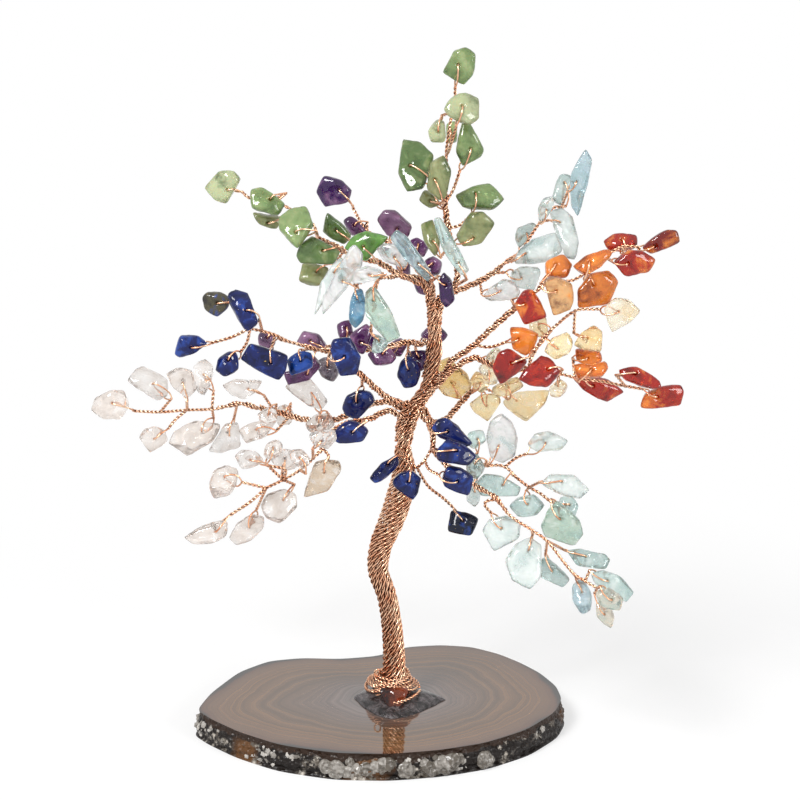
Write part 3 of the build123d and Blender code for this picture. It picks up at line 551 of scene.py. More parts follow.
boughs = [
    Bough("crown", 308, 0, [
        (447, 291, 455, 286, 457, 265, 451, 244, 448, 228, 445, 203, 446, 155, 452, 112, 455, 98),
    ], [(0.03, 0.2)], 5, {
        "crown_aventurine_stones": ("mppmmdoomoo", [
            (459, 64, 455, 88), (462, 108, 456, 127, 449, 150), (438, 130, 442, 115), (451, 132, 450, 148),
            (470, 148, 460, 170, 453, 190), (410, 168, 430, 182), (434, 178, 440, 204),
            (431, 200, 444, 210), (475, 195, 473, 213, 460, 225), (473, 236, 453, 243),
            (433, 243, 441, 258),
        ]),
        "crown_aquamarine_stone": ("a", [(459, 262, 467, 280)]),
    }),
    Bough("upper_left", 308, 180, [
        (425, 287, 415, 281, 395, 272, 378, 262, 360, 258, 343, 252, 333, 243, 318, 238, 313, 225,
         295, 212, 272, 200, 250, 198, 243, 193),
    ], [(0.05, 0.28, 0.5)], 5, {
        "upper_left_aventurine_stones": ("pmomdodb", [
            (228, 189, 243, 192), (270, 201, 287, 193), (268, 221, 284, 217), (296, 234, 317, 231),
            (322, 250, 343, 247), (317, 274, 334, 265), (336, 229, 354, 244), (364, 246, 378, 262),
        ]),
    }),
    Bough("back", 308, 120, [
        (427, 284, 420, 272, 408, 258, 390, 243, 367, 230, 353, 208),
    ], [(0.1, 0.85)], 3, {
        "upper_amethyst_stones": ("dmlmlmdd", [
            (340, 189, 353, 206), (354, 227, 368, 222), (397, 227, 389, 241), (419, 246, 410, 260),
            (403, 269, 412, 257), (433, 266, 421, 272), (422, 286, 430, 278), (446, 284, 437, 276),
        ]),
    }),
    Bough("front_left", 308, 240, [
        (431, 285, 420, 279, 400, 277, 380, 278, 366, 281, 355, 285),
        (380, 278, 375, 292),
    ], [(-0.1, -0.6), (-0.45, -0.5)], 3, {
        "front_aquamarine_stones": ("qwqbgasq", [
            (343, 280, 357, 288), (334, 274, 347, 262), (369, 273, 386, 274), (358, 301, 357, 284),
            (373, 300, 376, 282), (379, 343, 370, 331), (418, 262, 433, 280), (395, 256, 402, 272),
        ]),
    }),
    Bough("upper_right", 308, 60, [
        (441, 296, 457, 291, 480, 281, 493, 273, 520, 251, 541, 221, 555, 207, 561, 208),
    ], [(0.05, 0.68)], 3, {
        "upper_right_aquamarine_stones": ("sawwawwq", [
            (577, 181, 567, 192), (564, 184, 566, 207), (546, 208, 541, 224), (560, 224, 549, 220),
            (526, 233, 520, 254), (526, 256, 511, 262), (521, 277, 506, 272), (501, 290, 481, 294),
        ]),
    }),
    Bough("right_upper", 372, 330, [
        (450, 362, 463, 353, 474, 345, 490, 330, 515, 308, 530, 296, 545, 284, 573, 280, 588, 271,
         605, 257, 622, 247, 640, 247),
    ], [(-0.08, -0.2, -0.1)], 5, {
        "upper_carnelian_stones": ("ropoorrd", [
            (525, 303, 511, 300), (555, 266, 540, 284), (556, 289, 541, 287), (590, 264, 584, 280),
            (593, 284, 588, 269), (622, 242, 623, 254), (627, 262, 611, 261), (655, 245, 639, 249),
        ]),
        "orange_carnelian_stone": ("o", [(519, 338, 506, 342, 490, 347)]),
    }),
    Bough("right_lower", 382, 300, [
        (452, 370, 474, 358, 489, 364, 505, 369, 530, 369, 556, 372, 575, 378, 600, 381, 625, 386,
         643, 389),
        (530, 369, 533, 352, 548, 334, 575, 311, 597, 309),
    ], [(-0.15, -0.4), (-0.27, -0.3)], 4, {
        "lower_carnelian_stones": ("oorrr", [
            (588, 357, 572, 358), (591, 371, 578, 382), (593, 384, 583, 373), (636, 375, 615, 375),
            (656, 396, 643, 389),
        ]),
        "red_carnelian_stones": ("rr", [(512, 362, 530, 357), (547, 371, 563, 370)]),
        "right_citrine_stones": ("cycyyc", [
            (619, 311, 600, 310), (587, 339, 573, 333), (493, 359, 479, 360), (539, 326, 552, 331),
            (557, 348, 545, 338), (558, 388, 559, 375),
        ]),
    }),
    Bough("low_right", 412, 30, [
        (432, 422, 446, 419, 458, 406, 472, 392, 483, 389, 500, 393, 520, 388),
    ], [(0.1, 0.5)], 3, {
        "low_citrine_stones": ("yyooycy", [
            (487, 405, 482, 391), (516, 402, 506, 390), (453, 384, 462, 401), (447, 367, 458, 374),
            (480, 382, 472, 393), (489, 373, 486, 389), (508, 386, 508, 400),
        ]),
    }),
    Bough("lower_right", 404, 300, [
        (420, 412, 429, 424, 433, 437, 432, 449, 425, 460, 417, 468),
        (432, 449, 450, 458, 470, 464, 486, 465, 505, 467, 517, 478, 529, 487, 541, 494, 551, 502),
        (432, 449, 450, 468, 470, 480, 482, 490, 497, 499, 512, 517, 532, 530, 547, 541, 573, 573,
         585, 581, 597, 588),
    ], [(-0.15, -0.3), (-0.25, -0.15, -0.35), (-0.25, -0.55, -0.8)], 4, {
        "right_lapis_stones": ("lllkll", [
            (448, 430, 429, 428), (456, 452, 433, 450), (457, 479, 439, 475, 429, 469),
            (463, 522, 453, 507, 443, 498, 428, 486), (408, 481, 412, 466), (388, 466, 402, 456),
        ]),
        "lower_right_aquamarine_stones": ("qawwaawaag", [
            (499, 445, 488, 466), (477, 440, 478, 453), (545, 441, 527, 454, 516, 458),
            (562, 483, 539, 482), (502, 484, 511, 473), (475, 466, 487, 461),
            (474, 490, 477, 474, 474, 466), (528, 503, 526, 490), (569, 506, 555, 502),
            (560, 517, 551, 499),
        ]),
        "foot_aquamarine_stones": ("wwaaasee", [
            (502, 527, 491, 513, 485, 503), (528, 551, 533, 534), (552, 569, 545, 554),
            (586, 558, 562, 549), (607, 580, 589, 570), (582, 594, 576, 576), (611, 598, 600, 586),
            (605, 613, 594, 593),
        ]),
    }),
    Bough("left", 402, 210, [
        (398, 402, 388, 398, 375, 388, 362, 376, 345, 363, 330, 352, 312, 348, 292, 343, 275, 335,
         262, 331, 250, 328, 243, 320, 234, 305),
    ], [(-0.15, -0.48)], 5, {
        "left_lapis_stones": ("gllllbll", [
            (218, 302, 233, 303), (246, 312, 260, 320), (191, 345, 211, 343, 232, 337),
            (229, 362, 241, 352, 247, 342), (270, 362, 272, 346), (301, 363, 302, 350),
            (344, 355, 328, 357), (357, 401, 362, 386),
        ]),
    }),
    Bough("middle", 345, 135, [
        (420, 344, 409, 342, 395, 345, 380, 350, 362, 350, 345, 348, 325, 346, 300, 344, 281, 340),
    ], [(0.12, 0.25)], 3, {
        "lower_amethyst_stones": ("mmdmmdmllmg", [
            (361, 341, 372, 350), (346, 329, 343, 344), (375, 344, 386, 350), (383, 356, 399, 346),
            (398, 346, 410, 340), (419, 360, 415, 345), (431, 337, 419, 344), (311, 340, 325, 349),
            (267, 339, 279, 337), (307, 372, 316, 350), (328, 368, 332, 353),
        ]),
        "middle_lapis_stone": ("l", [(409, 368, 408, 351)]),
    }),
    Bough("far_left", 408, 170, [
        (390, 402, 375, 403, 360, 408, 345, 416, 333, 420, 318, 421, 303, 419, 290, 416, 274, 411,
         237, 404, 212, 409, 187, 410, 160, 412, 134, 411),
    ], [(0.05, 0.65)], 7, {
        "upper_quartz_stones": ("wcwcwwcccwwcw", [
            (113, 402, 133, 410), (153, 385, 172, 399), (183, 381, 187, 403), (204, 376, 214, 391),
            (154, 438, 168, 429, 175, 420), (202, 433, 214, 418), (229, 434, 234, 418),
            (249, 388, 264, 395), (268, 416, 277, 404), (285, 415, 291, 403), (257, 431, 277, 431),
            (311, 392, 320, 413), (319, 424, 327, 412),
        ]),
    }),
    Bough("low_left", 412, 240, [
        (388, 411, 372, 418, 362, 421, 345, 424, 333, 432, 323, 448, 313, 459, 300, 470, 283, 480,
         266, 488),
    ], [(-0.12, -0.75)], 4, {
        "lower_quartz_stones": ("cwcwcwwwwe", [
            (322, 440, 312, 449), (273, 449, 266, 465), (285, 459, 282, 474), (300, 459, 306, 474),
            (250, 459, 269, 466, 285, 470), (225, 479, 242, 482), (215, 530, 230, 515, 250, 502),
            (250, 526, 256, 510), (283, 501, 295, 484), (324, 470, 329, 455),
        ]),
        "inner_lapis_stone": ("l", [(353, 431, 367, 421)]),
    }),
]
print("boughs:", len(boughs), "stones:", sum(len(group[1]) for b in boughs for group in b.stones.values()))

# %% [markdown]
# ## Boughs
#
# A bough leaves the trunk as a bundle of pairs, loses a pair as twigs turn off, and ends as one. At the end
# of each twig the pair opens into a loop of one wire: up over the rim of its stone, down through the drilled
# hole and back underneath. The table above says where each stone's hole and twist are seen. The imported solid
# says how far back the stone hangs, and each one is told apart by its hole and by the way that it is turned:
# the stones of a group take the angles of `stone_turns` one after another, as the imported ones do.

# %% Bough geometry
stone_thickness = 0.0036
twist_clearance = 0.0012
bore_reach = 0.0009
bundle_pitch = 0.011
bundle_reach = {1: 0.0, 2: 0.00048, 3: 0.00056}
crown_roots = [(340, 0.0009), (322, 0.0012), (308, 0.0015)]
side_roots = [(34, -0.0007), (16, -0.0002), (0, 0.0004), (0, 0.0019)]
rim_clearance = 0.0003
loop_gap = 0.0002
loop_step = 0.0005
stone_turns = [(-22, 12), (16, -18), (6, 24), (-14, -20), (26, 8), (-8, -26), (20, 18)]


def route_places(route, shares):
    """Pixels and places of a route; its shares of the tree's reach back are evenly spaced along it."""
    route = pixels(route)
    runs = [0.0]
    for first, second in zip(route, route[1:]):
        runs.append(runs[-1] + hypot(second[0] - first[0], second[1] - first[1]))
    places = []
    for pixel, run in zip(route, runs):
        at = run / runs[-1] * (len(shares) - 1)
        index = min(int(at), len(shares) - 2)
        share = part_way(shares[index], shares[index + 1], at - index)
        places.append(seen(pixel, share * tree_reach))
    return route, places


def root_places(bough):
    """Where a bough parts from the trunk, with a run along the trunk before it."""
    outward = Vector((cos(radians(bough.angle)), sin(radians(bough.angle)), 0))
    if bough.leave == trunk_pixels[-1][1]:
        return [trunk_at(down)[0] + outward * reach for down, reach in crown_roots]
    radius = trunk_at(bough.leave)[1]
    return [trunk_at(bough.leave + below)[0] + outward * (radius + past) for below, past in side_roots]


class Setting:
    """How one stone hangs: its plane, its hole, and the twist that closes its loop."""

    def __init__(self, bough, row, turn, solids):
        self.hole_pixel, twist_pixel, *self.bends = pixels(row)
        last = self.bends[-1] if self.bends else twist_pixel
        spots = [(hypot(pixel[0] - last[0], pixel[1] - last[1]), place)
                 for route, shares in zip(bough.routes, bough.shares)
                 for pixel, place in zip(*route_places(route, shares))]
        self.joint = min(spots, key=lambda spot: spot[0])[1]
        tilt = Matrix.Rotation(radians(turn[1]), 3, "X") @ Matrix.Rotation(radians(turn[0]), 3, "Y")
        self.normal = tilt @ Vector((0, -level, dip))
        self.solid = min(solids, key=self.misfit)
        solids.remove(self.solid)
        self.hole = self.hole_in(self.solid)[0]
        twist = seen_on(twist_pixel, self.hole, self.normal)
        self.out = (twist - self.hole).normalized()
        self.across = self.normal.cross(self.out)
        hit = BVHTree.FromBMesh(self.solid).ray_cast(self.hole + self.out * bore_reach, self.out)
        self.rim = bore_reach + hit[3] if hit[0] else bore_reach * 2
        self.reach = max((twist - self.hole).length, self.rim + twist_clearance)

    def hole_in(self, solid):
        """The hole's place if the chip were this solid, and how thick the solid would be."""
        heights = [vert.co.dot(self.normal) for vert in solid.verts]
        middle = self.normal * (min(heights) + max(heights)) / 2
        return seen_on(self.hole_pixel, middle, self.normal), max(heights) - min(heights)

    def misfit(self, solid):
        """How badly a solid fits: its corners round the bore are eight, and it has one thickness."""
        hole, spread = self.hole_in(solid)
        from_hole = sorted((vert.co - hole).cross(self.normal).length for vert in solid.verts)
        return abs(spread - stone_thickness) + from_hole[7]

    def spot(self, along, height, aside=0.0):
        return self.hole + self.out * along + self.normal * height + self.across * aside

    def loop(self, draw):
        """Over the rim, through the hole and back underneath, a little slack to each side."""
        height = stone_thickness / 2 + wire_radius
        aside = draw.uniform(0.0002, 0.0008)
        slack = draw.uniform(0.0001, 0.0005)
        return smooth_line([
            self.spot(self.reach, loop_gap), self.spot(self.rim + rim_clearance, height * 0.75, aside),
            self.spot(self.rim * 0.5, height + slack, aside * 0.8), self.spot(0.0001, height * 0.9),
            self.spot(0, 0), self.spot(0.0001, -height * 0.9),
            self.spot(self.rim * 0.5, -height - slack * 0.5, -aside * 0.6),
            self.spot(self.rim + rim_clearance, -height * 0.75, -aside), self.spot(self.reach, -loop_gap),
        ], loop_step)

    def stem(self):
        """The twisted twig from the loop back to the bough, by way of any bends."""
        start = self.spot(self.reach - wire_radius, 0)
        bends = [seen(pixel, start.y + (self.joint.y - start.y) * (index + 1) / (len(self.bends) + 1))
                 for index, pixel in enumerate(self.bends)]
        return smooth_line([start] + bends + [self.joint])


# %% [markdown]
# ## Chips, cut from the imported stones
#
# Each stone's outline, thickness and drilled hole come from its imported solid, so a chip stays exactly where
# the solid is. A tumbled chip is a broken lump whose corners were worn down: a few flat breaks, soft edges
# and a polish. So each flat-sided stone is copied, planes break its two faces outside the hole, a voxel
# remesh makes one even skin of it, and smoothing with a slow noise wears it round. Planes and one remesh
# give every chip its own shape without one being modelled by hand.

# %% Breaking and wearing one stone
voxel = 0.00034
wear_rounds = 14
bore_clearance = 0.0013


def broken(setting, draw):
    """Breaks slanting planes off a stone's two faces, clear of its hole, down to the middle of its rim."""
    stone = setting.solid
    half = stone_thickness / 2
    for side in (1, -1):
        start = draw.uniform(0, tau)
        for i in range(6):
            angle = start + tau * i / 6 + draw.uniform(-0.35, 0.35)
            direction = setting.out * cos(angle) + setting.across * sin(angle)
            if cos(angle) > 0.8:
                continue
            rim = max((vert.co - setting.hole).dot(direction) for vert in stone.verts)
            inset = max(bore_clearance, rim * draw.uniform(0.25, 0.75))
            fall = half * draw.uniform(0.4, 0.95)
            if rim < inset + wire_radius:
                continue
            place = setting.hole + direction * inset + setting.normal * side * half
            slope = setting.normal * side * (rim - inset) + direction * fall
            cut = bmesh.ops.bisect_plane(stone, geom=stone.verts[:] + stone.edges[:] + stone.faces[:],
                                         plane_co=place, plane_no=slope.normalized(), clear_outer=True)
            edges = [part for part in cut["geom_cut"] if isinstance(part, bmesh.types.BMEdge)]
            if edges:
                bmesh.ops.holes_fill(stone, edges=edges)


def evened(form, rounds, upright=True):
    """Draws every vertex towards its neighbours, some number of times."""
    for _ in range(rounds):
        bmesh.ops.smooth_vert(form, verts=form.verts, factor=0.5, use_axis_x=True, use_axis_y=True,
                              use_axis_z=upright)


def worn(stone, seed, size=voxel, wander=0.00016, swell=0.00013):
    """One even skin over a broken stone, worn round."""
    flat_sided = baked("draft", stone)
    draft = linked("draft", flat_sided)
    skin = draft.modifiers.new("skin", "REMESH")
    skin.mode = "VOXEL"
    skin.voxel_size = size
    made = evaluated(draft)
    bpy.data.meshes.remove(flat_sided)
    chip = opened(made)
    bpy.data.meshes.remove(made)
    evened(chip, wear_rounds)
    chip.normal_update()
    away = Vector((seed * 7.3, seed * 3.1, seed * 1.7))
    for vert in chip.verts:
        wave = noise.noise(vert.co * 330 + away) + 0.4 * noise.noise(vert.co * 900 + away)
        vert.co += vert.normal * (wave * wander + swell)
    return chip


def solids_of(node):
    """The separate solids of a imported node."""
    whole = packed(node)
    whole.verts.ensure_lookup_table()
    taken = set()
    found = []
    for first in whole.verts:
        if first.index in taken:
            continue
        island = {first.index}
        heap = [first]
        while heap:
            for edge in heap.pop().link_edges:
                for vert in edge.verts:
                    if vert.index not in island:
                        island.add(vert.index)
                        heap.append(vert)
        taken |= island
        solid = whole.copy()
        bmesh.ops.delete(solid, geom=[vert for vert in solid.verts if vert.index not in island],
                         context="VERTS")
        found.append(solid)
    whole.free()
    return found


# %% [markdown]
# ## Gem finishes
#
# The seven kinds of stone share one build, and carnelian has a second, redder finish. A tint is stored on
# every chip, so that no two neighbours match. A slow noise makes the stone cloudy inside, a fine one adds
# flecks, and how much light goes through depends on the kind: none in lapis lazuli, most in quartz. The tint
# and a number that shifts the noise for each chip are attributes of the mesh, because they follow the chip
# and not the tree.

# %% Gem finishes


def gem(name, through, under, deep, glow, glowing, flecks, fleck_share, scale=190.0, rough=0.05):
    """A finish for one kind of stone: its tint goes deeper in some clouds and glows in others."""
    material, tree, shader = finish(name)
    own = stored(tree, "grain")
    clouds = grained(tree, scale, 4.0, 0.55, 0.8, own)
    body = blended(tree, ranged(tree, clouds, 0.52, 0.66, 0.0, glowing), stored(tree, "tint", "Color"), glow)
    body = blended(tree, ranged(tree, clouds, 0.49, 0.33, 0.0, 0.8), body, deep)
    fine = grained(tree, scale * 5, 3.0, 0.6, 0.3, own)
    feed(tree, shader, {
        "Base Color": blended(tree, ranged(tree, fine, 0.7 - fleck_share, 0.78 - fleck_share), body, flecks),
        "Roughness": ranged(tree, fine, 0.4, 0.75, rough * 0.6, rough + 0.06),
        "Transmission Weight": ranged(tree, clouds, 0.3, 0.7, through, through * 0.75),
        "Subsurface Weight": under, "Subsurface Scale": 0.0015, "IOR": 1.54,
    })
    bumped(tree, shader, clouds, 0.0006, 0.3)
    return material


gem_slots = {
    "aventurine": gem("green_aventurine", 0.55, 0.15, "46602c", "c4cc98", 0.45, "e0e6c4", 0.015),
    "amethyst": gem("amethyst", 0.5, 0.0, "200a30", "b080a8", 0.6, "d8c4d4", 0.0),
    "aquamarine": gem("aquamarine", 0.8, 0.05, "a6c2c0", "f4f8f6", 0.6, "ffffff", 0.02, rough=0.06),
    "carnelian": gem("carnelian", 0.7, 0.05, "5c0a02", "ffa03c", 0.9, "fbd9a0", 0.0),
    "red_carnelian": gem("red_carnelian", 0.65, 0.0, "480602", "f05020", 0.7, "f09058", 0.0),
    "citrine": gem("citrine", 0.88, 0.05, "f0c478", "fffaf0", 0.6, "fffaf0", 0.03, rough=0.06),
    "clear_quartz": gem("clear_quartz", 0.93, 0.0, "cabeb4", "ffffff", 0.7, "ffffff", 0.05, 260.0, 0.04),
    "lapis_lazuli": gem("lapis_lazuli", 0.0, 0.0, "040822", "2c50a8", 0.6, "6c7490", 0.0, 260.0),
}
tree = gem_slots["lapis_lazuli"].node_tree
shader = tree.nodes["Principled BSDF"]
pyrite = ranged(tree, grained(tree, 1500.0, 2.0, 0.5, 0.0, 5.0), 0.7, 0.73)
blue = shader.inputs["Base Color"].links[0].from_socket
feed(tree, shader, {"Base Color": blended(tree, pyrite, blue, "c8a860"), "Metallic": pyrite,
                    "Specular IOR Level": 0.3})

slot_of = {row["node"]: row["material_slot"] for row in frame["record"]["subparts"]}

# The colour that each letter of the table stands for, in each kind
tints = {
    "aventurine": {"m": "88a066", "p": "c0c89e", "d": "648048", "o": "969c6a", "b": "72a850"},
    "amethyst": {"m": "5c2c60", "d": "381454", "l": "805a7c", "g": "9a9098"},
    "aquamarine": {"w": "e2eae7", "a": "cadcd8", "b": "6cacd0", "g": "c8dece", "q": "ecebea", "e": "e0d8c8",
                   "s": "b6ccd4"},
    "carnelian": {"o": "ee8834", "r": "b01c08", "p": "f6c488", "d": "801206"},
    "red_carnelian": {"r": "a81408", "d": "780e06"},
    "citrine": {"y": "fdebc0", "c": "fdf5e0", "o": "f6d490"},
    "lapis_lazuli": {"l": "121c52", "b": "1c489c", "g": "4a4636", "k": "0e1424"},
    "clear_quartz": {"w": "ece3dc", "c": "f3eeea", "e": "dcc8b0"},
}


def gem_group(group, letters, settings):
    """All the stones of one group, as one piece."""
    slot = slot_of[group]
    gathered = bmesh.new()
    tint_layer = gathered.verts.layers.float_color.new("tint")
    grain_layer = gathered.verts.layers.float.new("grain")
    for index, (setting, letter) in enumerate(zip(settings, letters, strict=True)):
        draw = random.Random(group + str(index))
        broken(setting, draw)
        chip_mesh = baked("chip", worn(setting.solid, index + len(group)))
        before = len(gathered.verts)
        gathered.from_mesh(chip_mesh)
        bpy.data.meshes.remove(chip_mesh)
        gathered.verts.ensure_lookup_table()
        change = draw.uniform(0.9, 1.1)
        colour = [part * change for part in shade(tints[slot][letter])[:3]] + [1.0]
        for vert in gathered.verts[before:]:
            vert[tint_layer] = colour
            vert[grain_layer] = index * 1.7
    dress(group + "_chips", smoothed(baked(group + "_chips", gathered)), gem_slots[slot], slot, group)


# %% Boughs and their stones
fade = 14
shortest_pair = 8
side_route_double = 0.45


def strand_count(index, share, thick_share):
    """How many pairs a bundle still has at a share of its route; a bough's first route has most."""
    if index:
        return 2 if share < side_route_double else 1
    return 3 if share < thick_share else 2 if share < (1 + thick_share) / 2.2 else 1


def bundle(work, line, counts):
    """Three, two or one pair wound round a line, closing in as the others end."""
    reach = [bundle_reach[count] for count in counts]
    spans = [reach[max(0, i - fade):i + fade + 1] for i in range(len(reach))]
    eased = [sum(span) / len(span) for span in spans]
    for strand in range(max(counts)):
        last = max(i for i, count in enumerate(counts) if count > strand) + 1
        if last >= shortest_pair:
            wound = wound_round(line, eased, bundle_pitch, strand * tau / 3)
            work.pair(wound[:last], strand * 1.7)


for bough in boughs:
    work = WireWork(bough.name + "_bough")
    for index, (route, shares) in enumerate(zip(bough.routes, bough.shares)):
        places = route_places(route, shares)[1]
        thick = bough.thick
        if not index:
            root = root_places(bough)
            places = root + places
            thick += len(root)
        line = smooth_line(places)
        thick_share = (min(thick, len(places)) - 1) / (len(places) - 1)
        counts = [strand_count(index, i / len(line), thick_share) for i in range(len(line))]
        bundle(work, line, counts)
    for group, (letters, rows) in bough.stones.items():
        solids = solids_of(group)
        settings = [Setting(bough, row, stone_turns[i % len(stone_turns)], solids)
                    for i, row in enumerate(rows)]
        gem_group(group, letters, settings)
        for i, setting in enumerate(settings):
            draw = random.Random(group + "wire" + str(i))
            work.wire(setting.loop(draw))
            work.pair(setting.stem(), draw.uniform(0, tau))
    work.done(bough.name + "_bough_wire")

# %% [markdown]
# ## Agate slice
#
# The base is a slice sawn through a nodule of agate and polished on its flat faces. Its bands run round the
# middle like the rings of a tree, bluish near the foot and tan towards the rim, and its rough crust shows
# all round the edge: dark matrix, sugary crystals and a few amber stains. The top's outline comes from the
# packed slice. Rings are extruded from it inwards, so that a value stored on each ring can carry the bands,
# and downwards, where noise breaks them up into crust.

# %% Slice shape
slab = packed("agate_slice")
bmesh.ops.dissolve_limit(slab, angle_limit=radians(1), verts=slab.verts, edges=slab.edges)
top_face = max(slab.faces, key=lambda face: face.calc_center_median().z)
bmesh.ops.delete(slab, geom=[face for face in slab.faces if face != top_face], context="FACES")
bmesh.ops.subdivide_edges(slab, edges=slab.edges[:], cuts=35)
evened(slab, 90, upright=False)
bmesh.ops.delete(slab, geom=slab.faces[:], context="FACES_ONLY")
rim_layer = slab.verts.layers.float.new("rim")
for vert in slab.verts:
    vert.co.z = slice_top
    vert[rim_layer] = 1.0
rim_edges = slab.edges[:]
outline = [vert.co.copy() for vert in slab.verts]
print("slice outline:", len(outline), "points")


def ringed(edges, change):
    """Extrudes a ring of edges and moves the new one."""
    made = bmesh.ops.extrude_edge_only(slab, edges=edges)["geom"]
    for part in made:
        if isinstance(part, bmesh.types.BMVert):
            change(part)
    return [part for part in made if isinstance(part, bmesh.types.BMEdge)]


# %% Slice top
ring_shares = (0.985, 0.95, 0.85, 0.7, 0.55, 0.4, 0.28, 0.18, 0.1, 0.04)
edges = rim_edges
share = 1.0
for next_share in ring_shares:
    def inwards(vert, change=next_share / share, now=next_share):
        vert.co.x *= change
        vert.co.y *= change
        vert[rim_layer] = now
    edges = ringed(edges, inwards)
    share = next_share
bmesh.ops.holes_fill(slab, edges=edges)
top_faces = set(slab.faces)

# %% Slice crust
crust_steps = 22
crust_profile = [(0.0, 0.0), (0.1, 0.0008), (0.66, 0.0022), (1.0, 0.0011)]
crust_relief = 0.0013
edges = rim_edges


def crust_growth(share):
    """How far the crust stands out past the top's outline, at a share of the way down."""
    for (s0, g0), (s1, g1) in zip(crust_profile, crust_profile[1:]):
        if share <= s1:
            return g0 + (g1 - g0) * (share - s0) / (s1 - s0)
    return crust_profile[-1][1]


for step in range(1, crust_steps + 1):
    def downwards(vert, share=step / crust_steps, before=(step - 1) / crust_steps):
        flat = Vector((vert.co.x, vert.co.y, 0))
        vert.co.z = slice_top * (1 - share)
        vert.co += flat.normalized() * (crust_growth(share) - crust_growth(before))
        vert[rim_layer] = 1.0 + share
    edges = ringed(edges, downwards)
bmesh.ops.holes_fill(slab, edges=edges)
bmesh.ops.recalc_face_normals(slab, faces=slab.faces)
slab.normal_update()
for vert in slab.verts:
    depth = vert[rim_layer] - 1
    if 0.02 < depth < 0.98:
        lump = noise.noise(vert.co * 160) * 0.5 + abs(noise.noise(vert.co * 520)) * 0.9
        cells = noise.voronoi(vert.co * 700)[0]
        crystal = (cells[1] - cells[0]) * 0.5
        flat = Vector((vert.co.x, vert.co.y, 0)).normalized()
        edge = min(1.0, depth * 9, (0.98 - depth) * 12)
        vert.co -= flat * (crust_relief * (1 - min(1.0, crystal + lump * 0.5)) * edge)
for face in slab.faces:
    face.smooth = face in top_faces or abs(face.normal.z) > 0.9
    face.material_index = 0 if face in top_faces or face.normal.z < -0.9 else 1

# Extruded parts come in no fixed order, so they are put in the order of their places
count_way = Vector((1.0, 0.31, 0.077))
slab.verts.sort(key=lambda vert: vert.co.dot(count_way))
slab.edges.sort(key=lambda edge: (edge.verts[0].co + edge.verts[1].co).dot(count_way))
slab.faces.sort(key=lambda face: face.calc_center_median().dot(count_way))
print("slice:", len(slab.faces), "faces")

# %% Agate finishes
polished, tree, shader = finish("polished_agate")
waver = ranged(tree, grained(tree, 28.0, 3.0, 0.5, 0.0, 1.0), 0.25, 0.75, -0.08, 0.08)
warped = worked(tree, "ADD", stored(tree, "rim"), waver)
ramp = add(tree, "ValToRGB", {"Fac": warped})
stops = [
    (0.0, "5c4a40"), (0.16, "64584f"), (0.28, "675b57"), (0.4, "5f4e46"), (0.6, "5c4430"),
    (0.8, "66472a"), (0.93, "60432c"), (0.98, "4a2c1a"), (1.0, "160c06"),
]
while len(ramp.color_ramp.elements) < len(stops):
    ramp.color_ramp.elements.new(0.5)
for element, (place, code) in zip(ramp.color_ramp.elements, stops):
    element.position = place
    element.color = shade(code)
bands = add(tree, "TexNoise", {"W": worked(tree, "MULTIPLY", warped, 22.0), "Scale": 1.0, "Detail": 3.0,
                               "Roughness": 0.65}, noise_dimensions="1D")
lines = ranged(tree, bands.outputs["Fac"], 0.3, 0.7, 0.7, 1.3)
clouded = ranged(tree, grained(tree, 60.0, 5.0, 0.6, 0.5, 4.0), 0.3, 0.7, 0.9, 1.1)
banded = add(tree, "HueSaturation", {"Color": ramp.outputs["Color"],
                                     "Value": worked(tree, "MULTIPLY", lines, clouded)})
feed(tree, shader, {
    "Base Color": banded.outputs["Color"],
    "Roughness": ranged(tree, grained(tree, 90.0, 4.0), 0.3, 0.7, 0.0, 0.015),
    "IOR": 1.54, "Coat Weight": 0.65, "Coat Roughness": 0.01,
})

crust, tree, shader = finish("agate_crust")
cells = add(tree, "TexVoronoi", {"Vector": own_place(tree), "Scale": 620.0, "Randomness": 1.0}, feature="F1")
sugar = ranged(tree, grained(tree, 170.0, 5.0, 0.72, 0.6, 2.0), 0.54, 0.59)
stain = ranged(tree, grained(tree, 60.0, 3.0, 0.5, 0.2, 7.0), 0.55, 0.66)
matrix = blended(tree, stain, "150e0a", "5a3a1c")
white = blended(tree, ranged(tree, cells.outputs["Distance"], 0.15, 0.6), "bdb5aa", "5a534b")
speckled = blended(tree, sugar, matrix, white)
ragged = grained(tree, 130.0, 3.0, 0.6, 0.0, 9.0)
skirt = ranged(tree, ragged, 0.35, 0.65, slice_top * 0.6, slice_top * 0.88)
above = worked(tree, "GREATER_THAN", own_axis(tree, "Z"), skirt)
feed(tree, shader, {
    "Base Color": blended(tree, above, speckled, "2c1d13"),
    "Roughness": ranged(tree, sugar, 0.0, 1.0, 0.35, 0.2), "Specular IOR Level": 0.25,
})
bumped(tree, shader, cells.outputs["Distance"], 0.0005, 0.9)
dress("agate_slab", baked("agate_slab", slab), [polished, crust], "agate", "agate_slice")

# %% [markdown]
# ## Crystals on the crust
#
# Sugary quartz grows in patches on the crust. Each crystal is a small rough bead sunk half into the rim.
# There are hundreds, so each has only twenty faces, and their flat faces are what makes them glitter. In
# front a few larger grey lumps of chalcedony swell out between them.

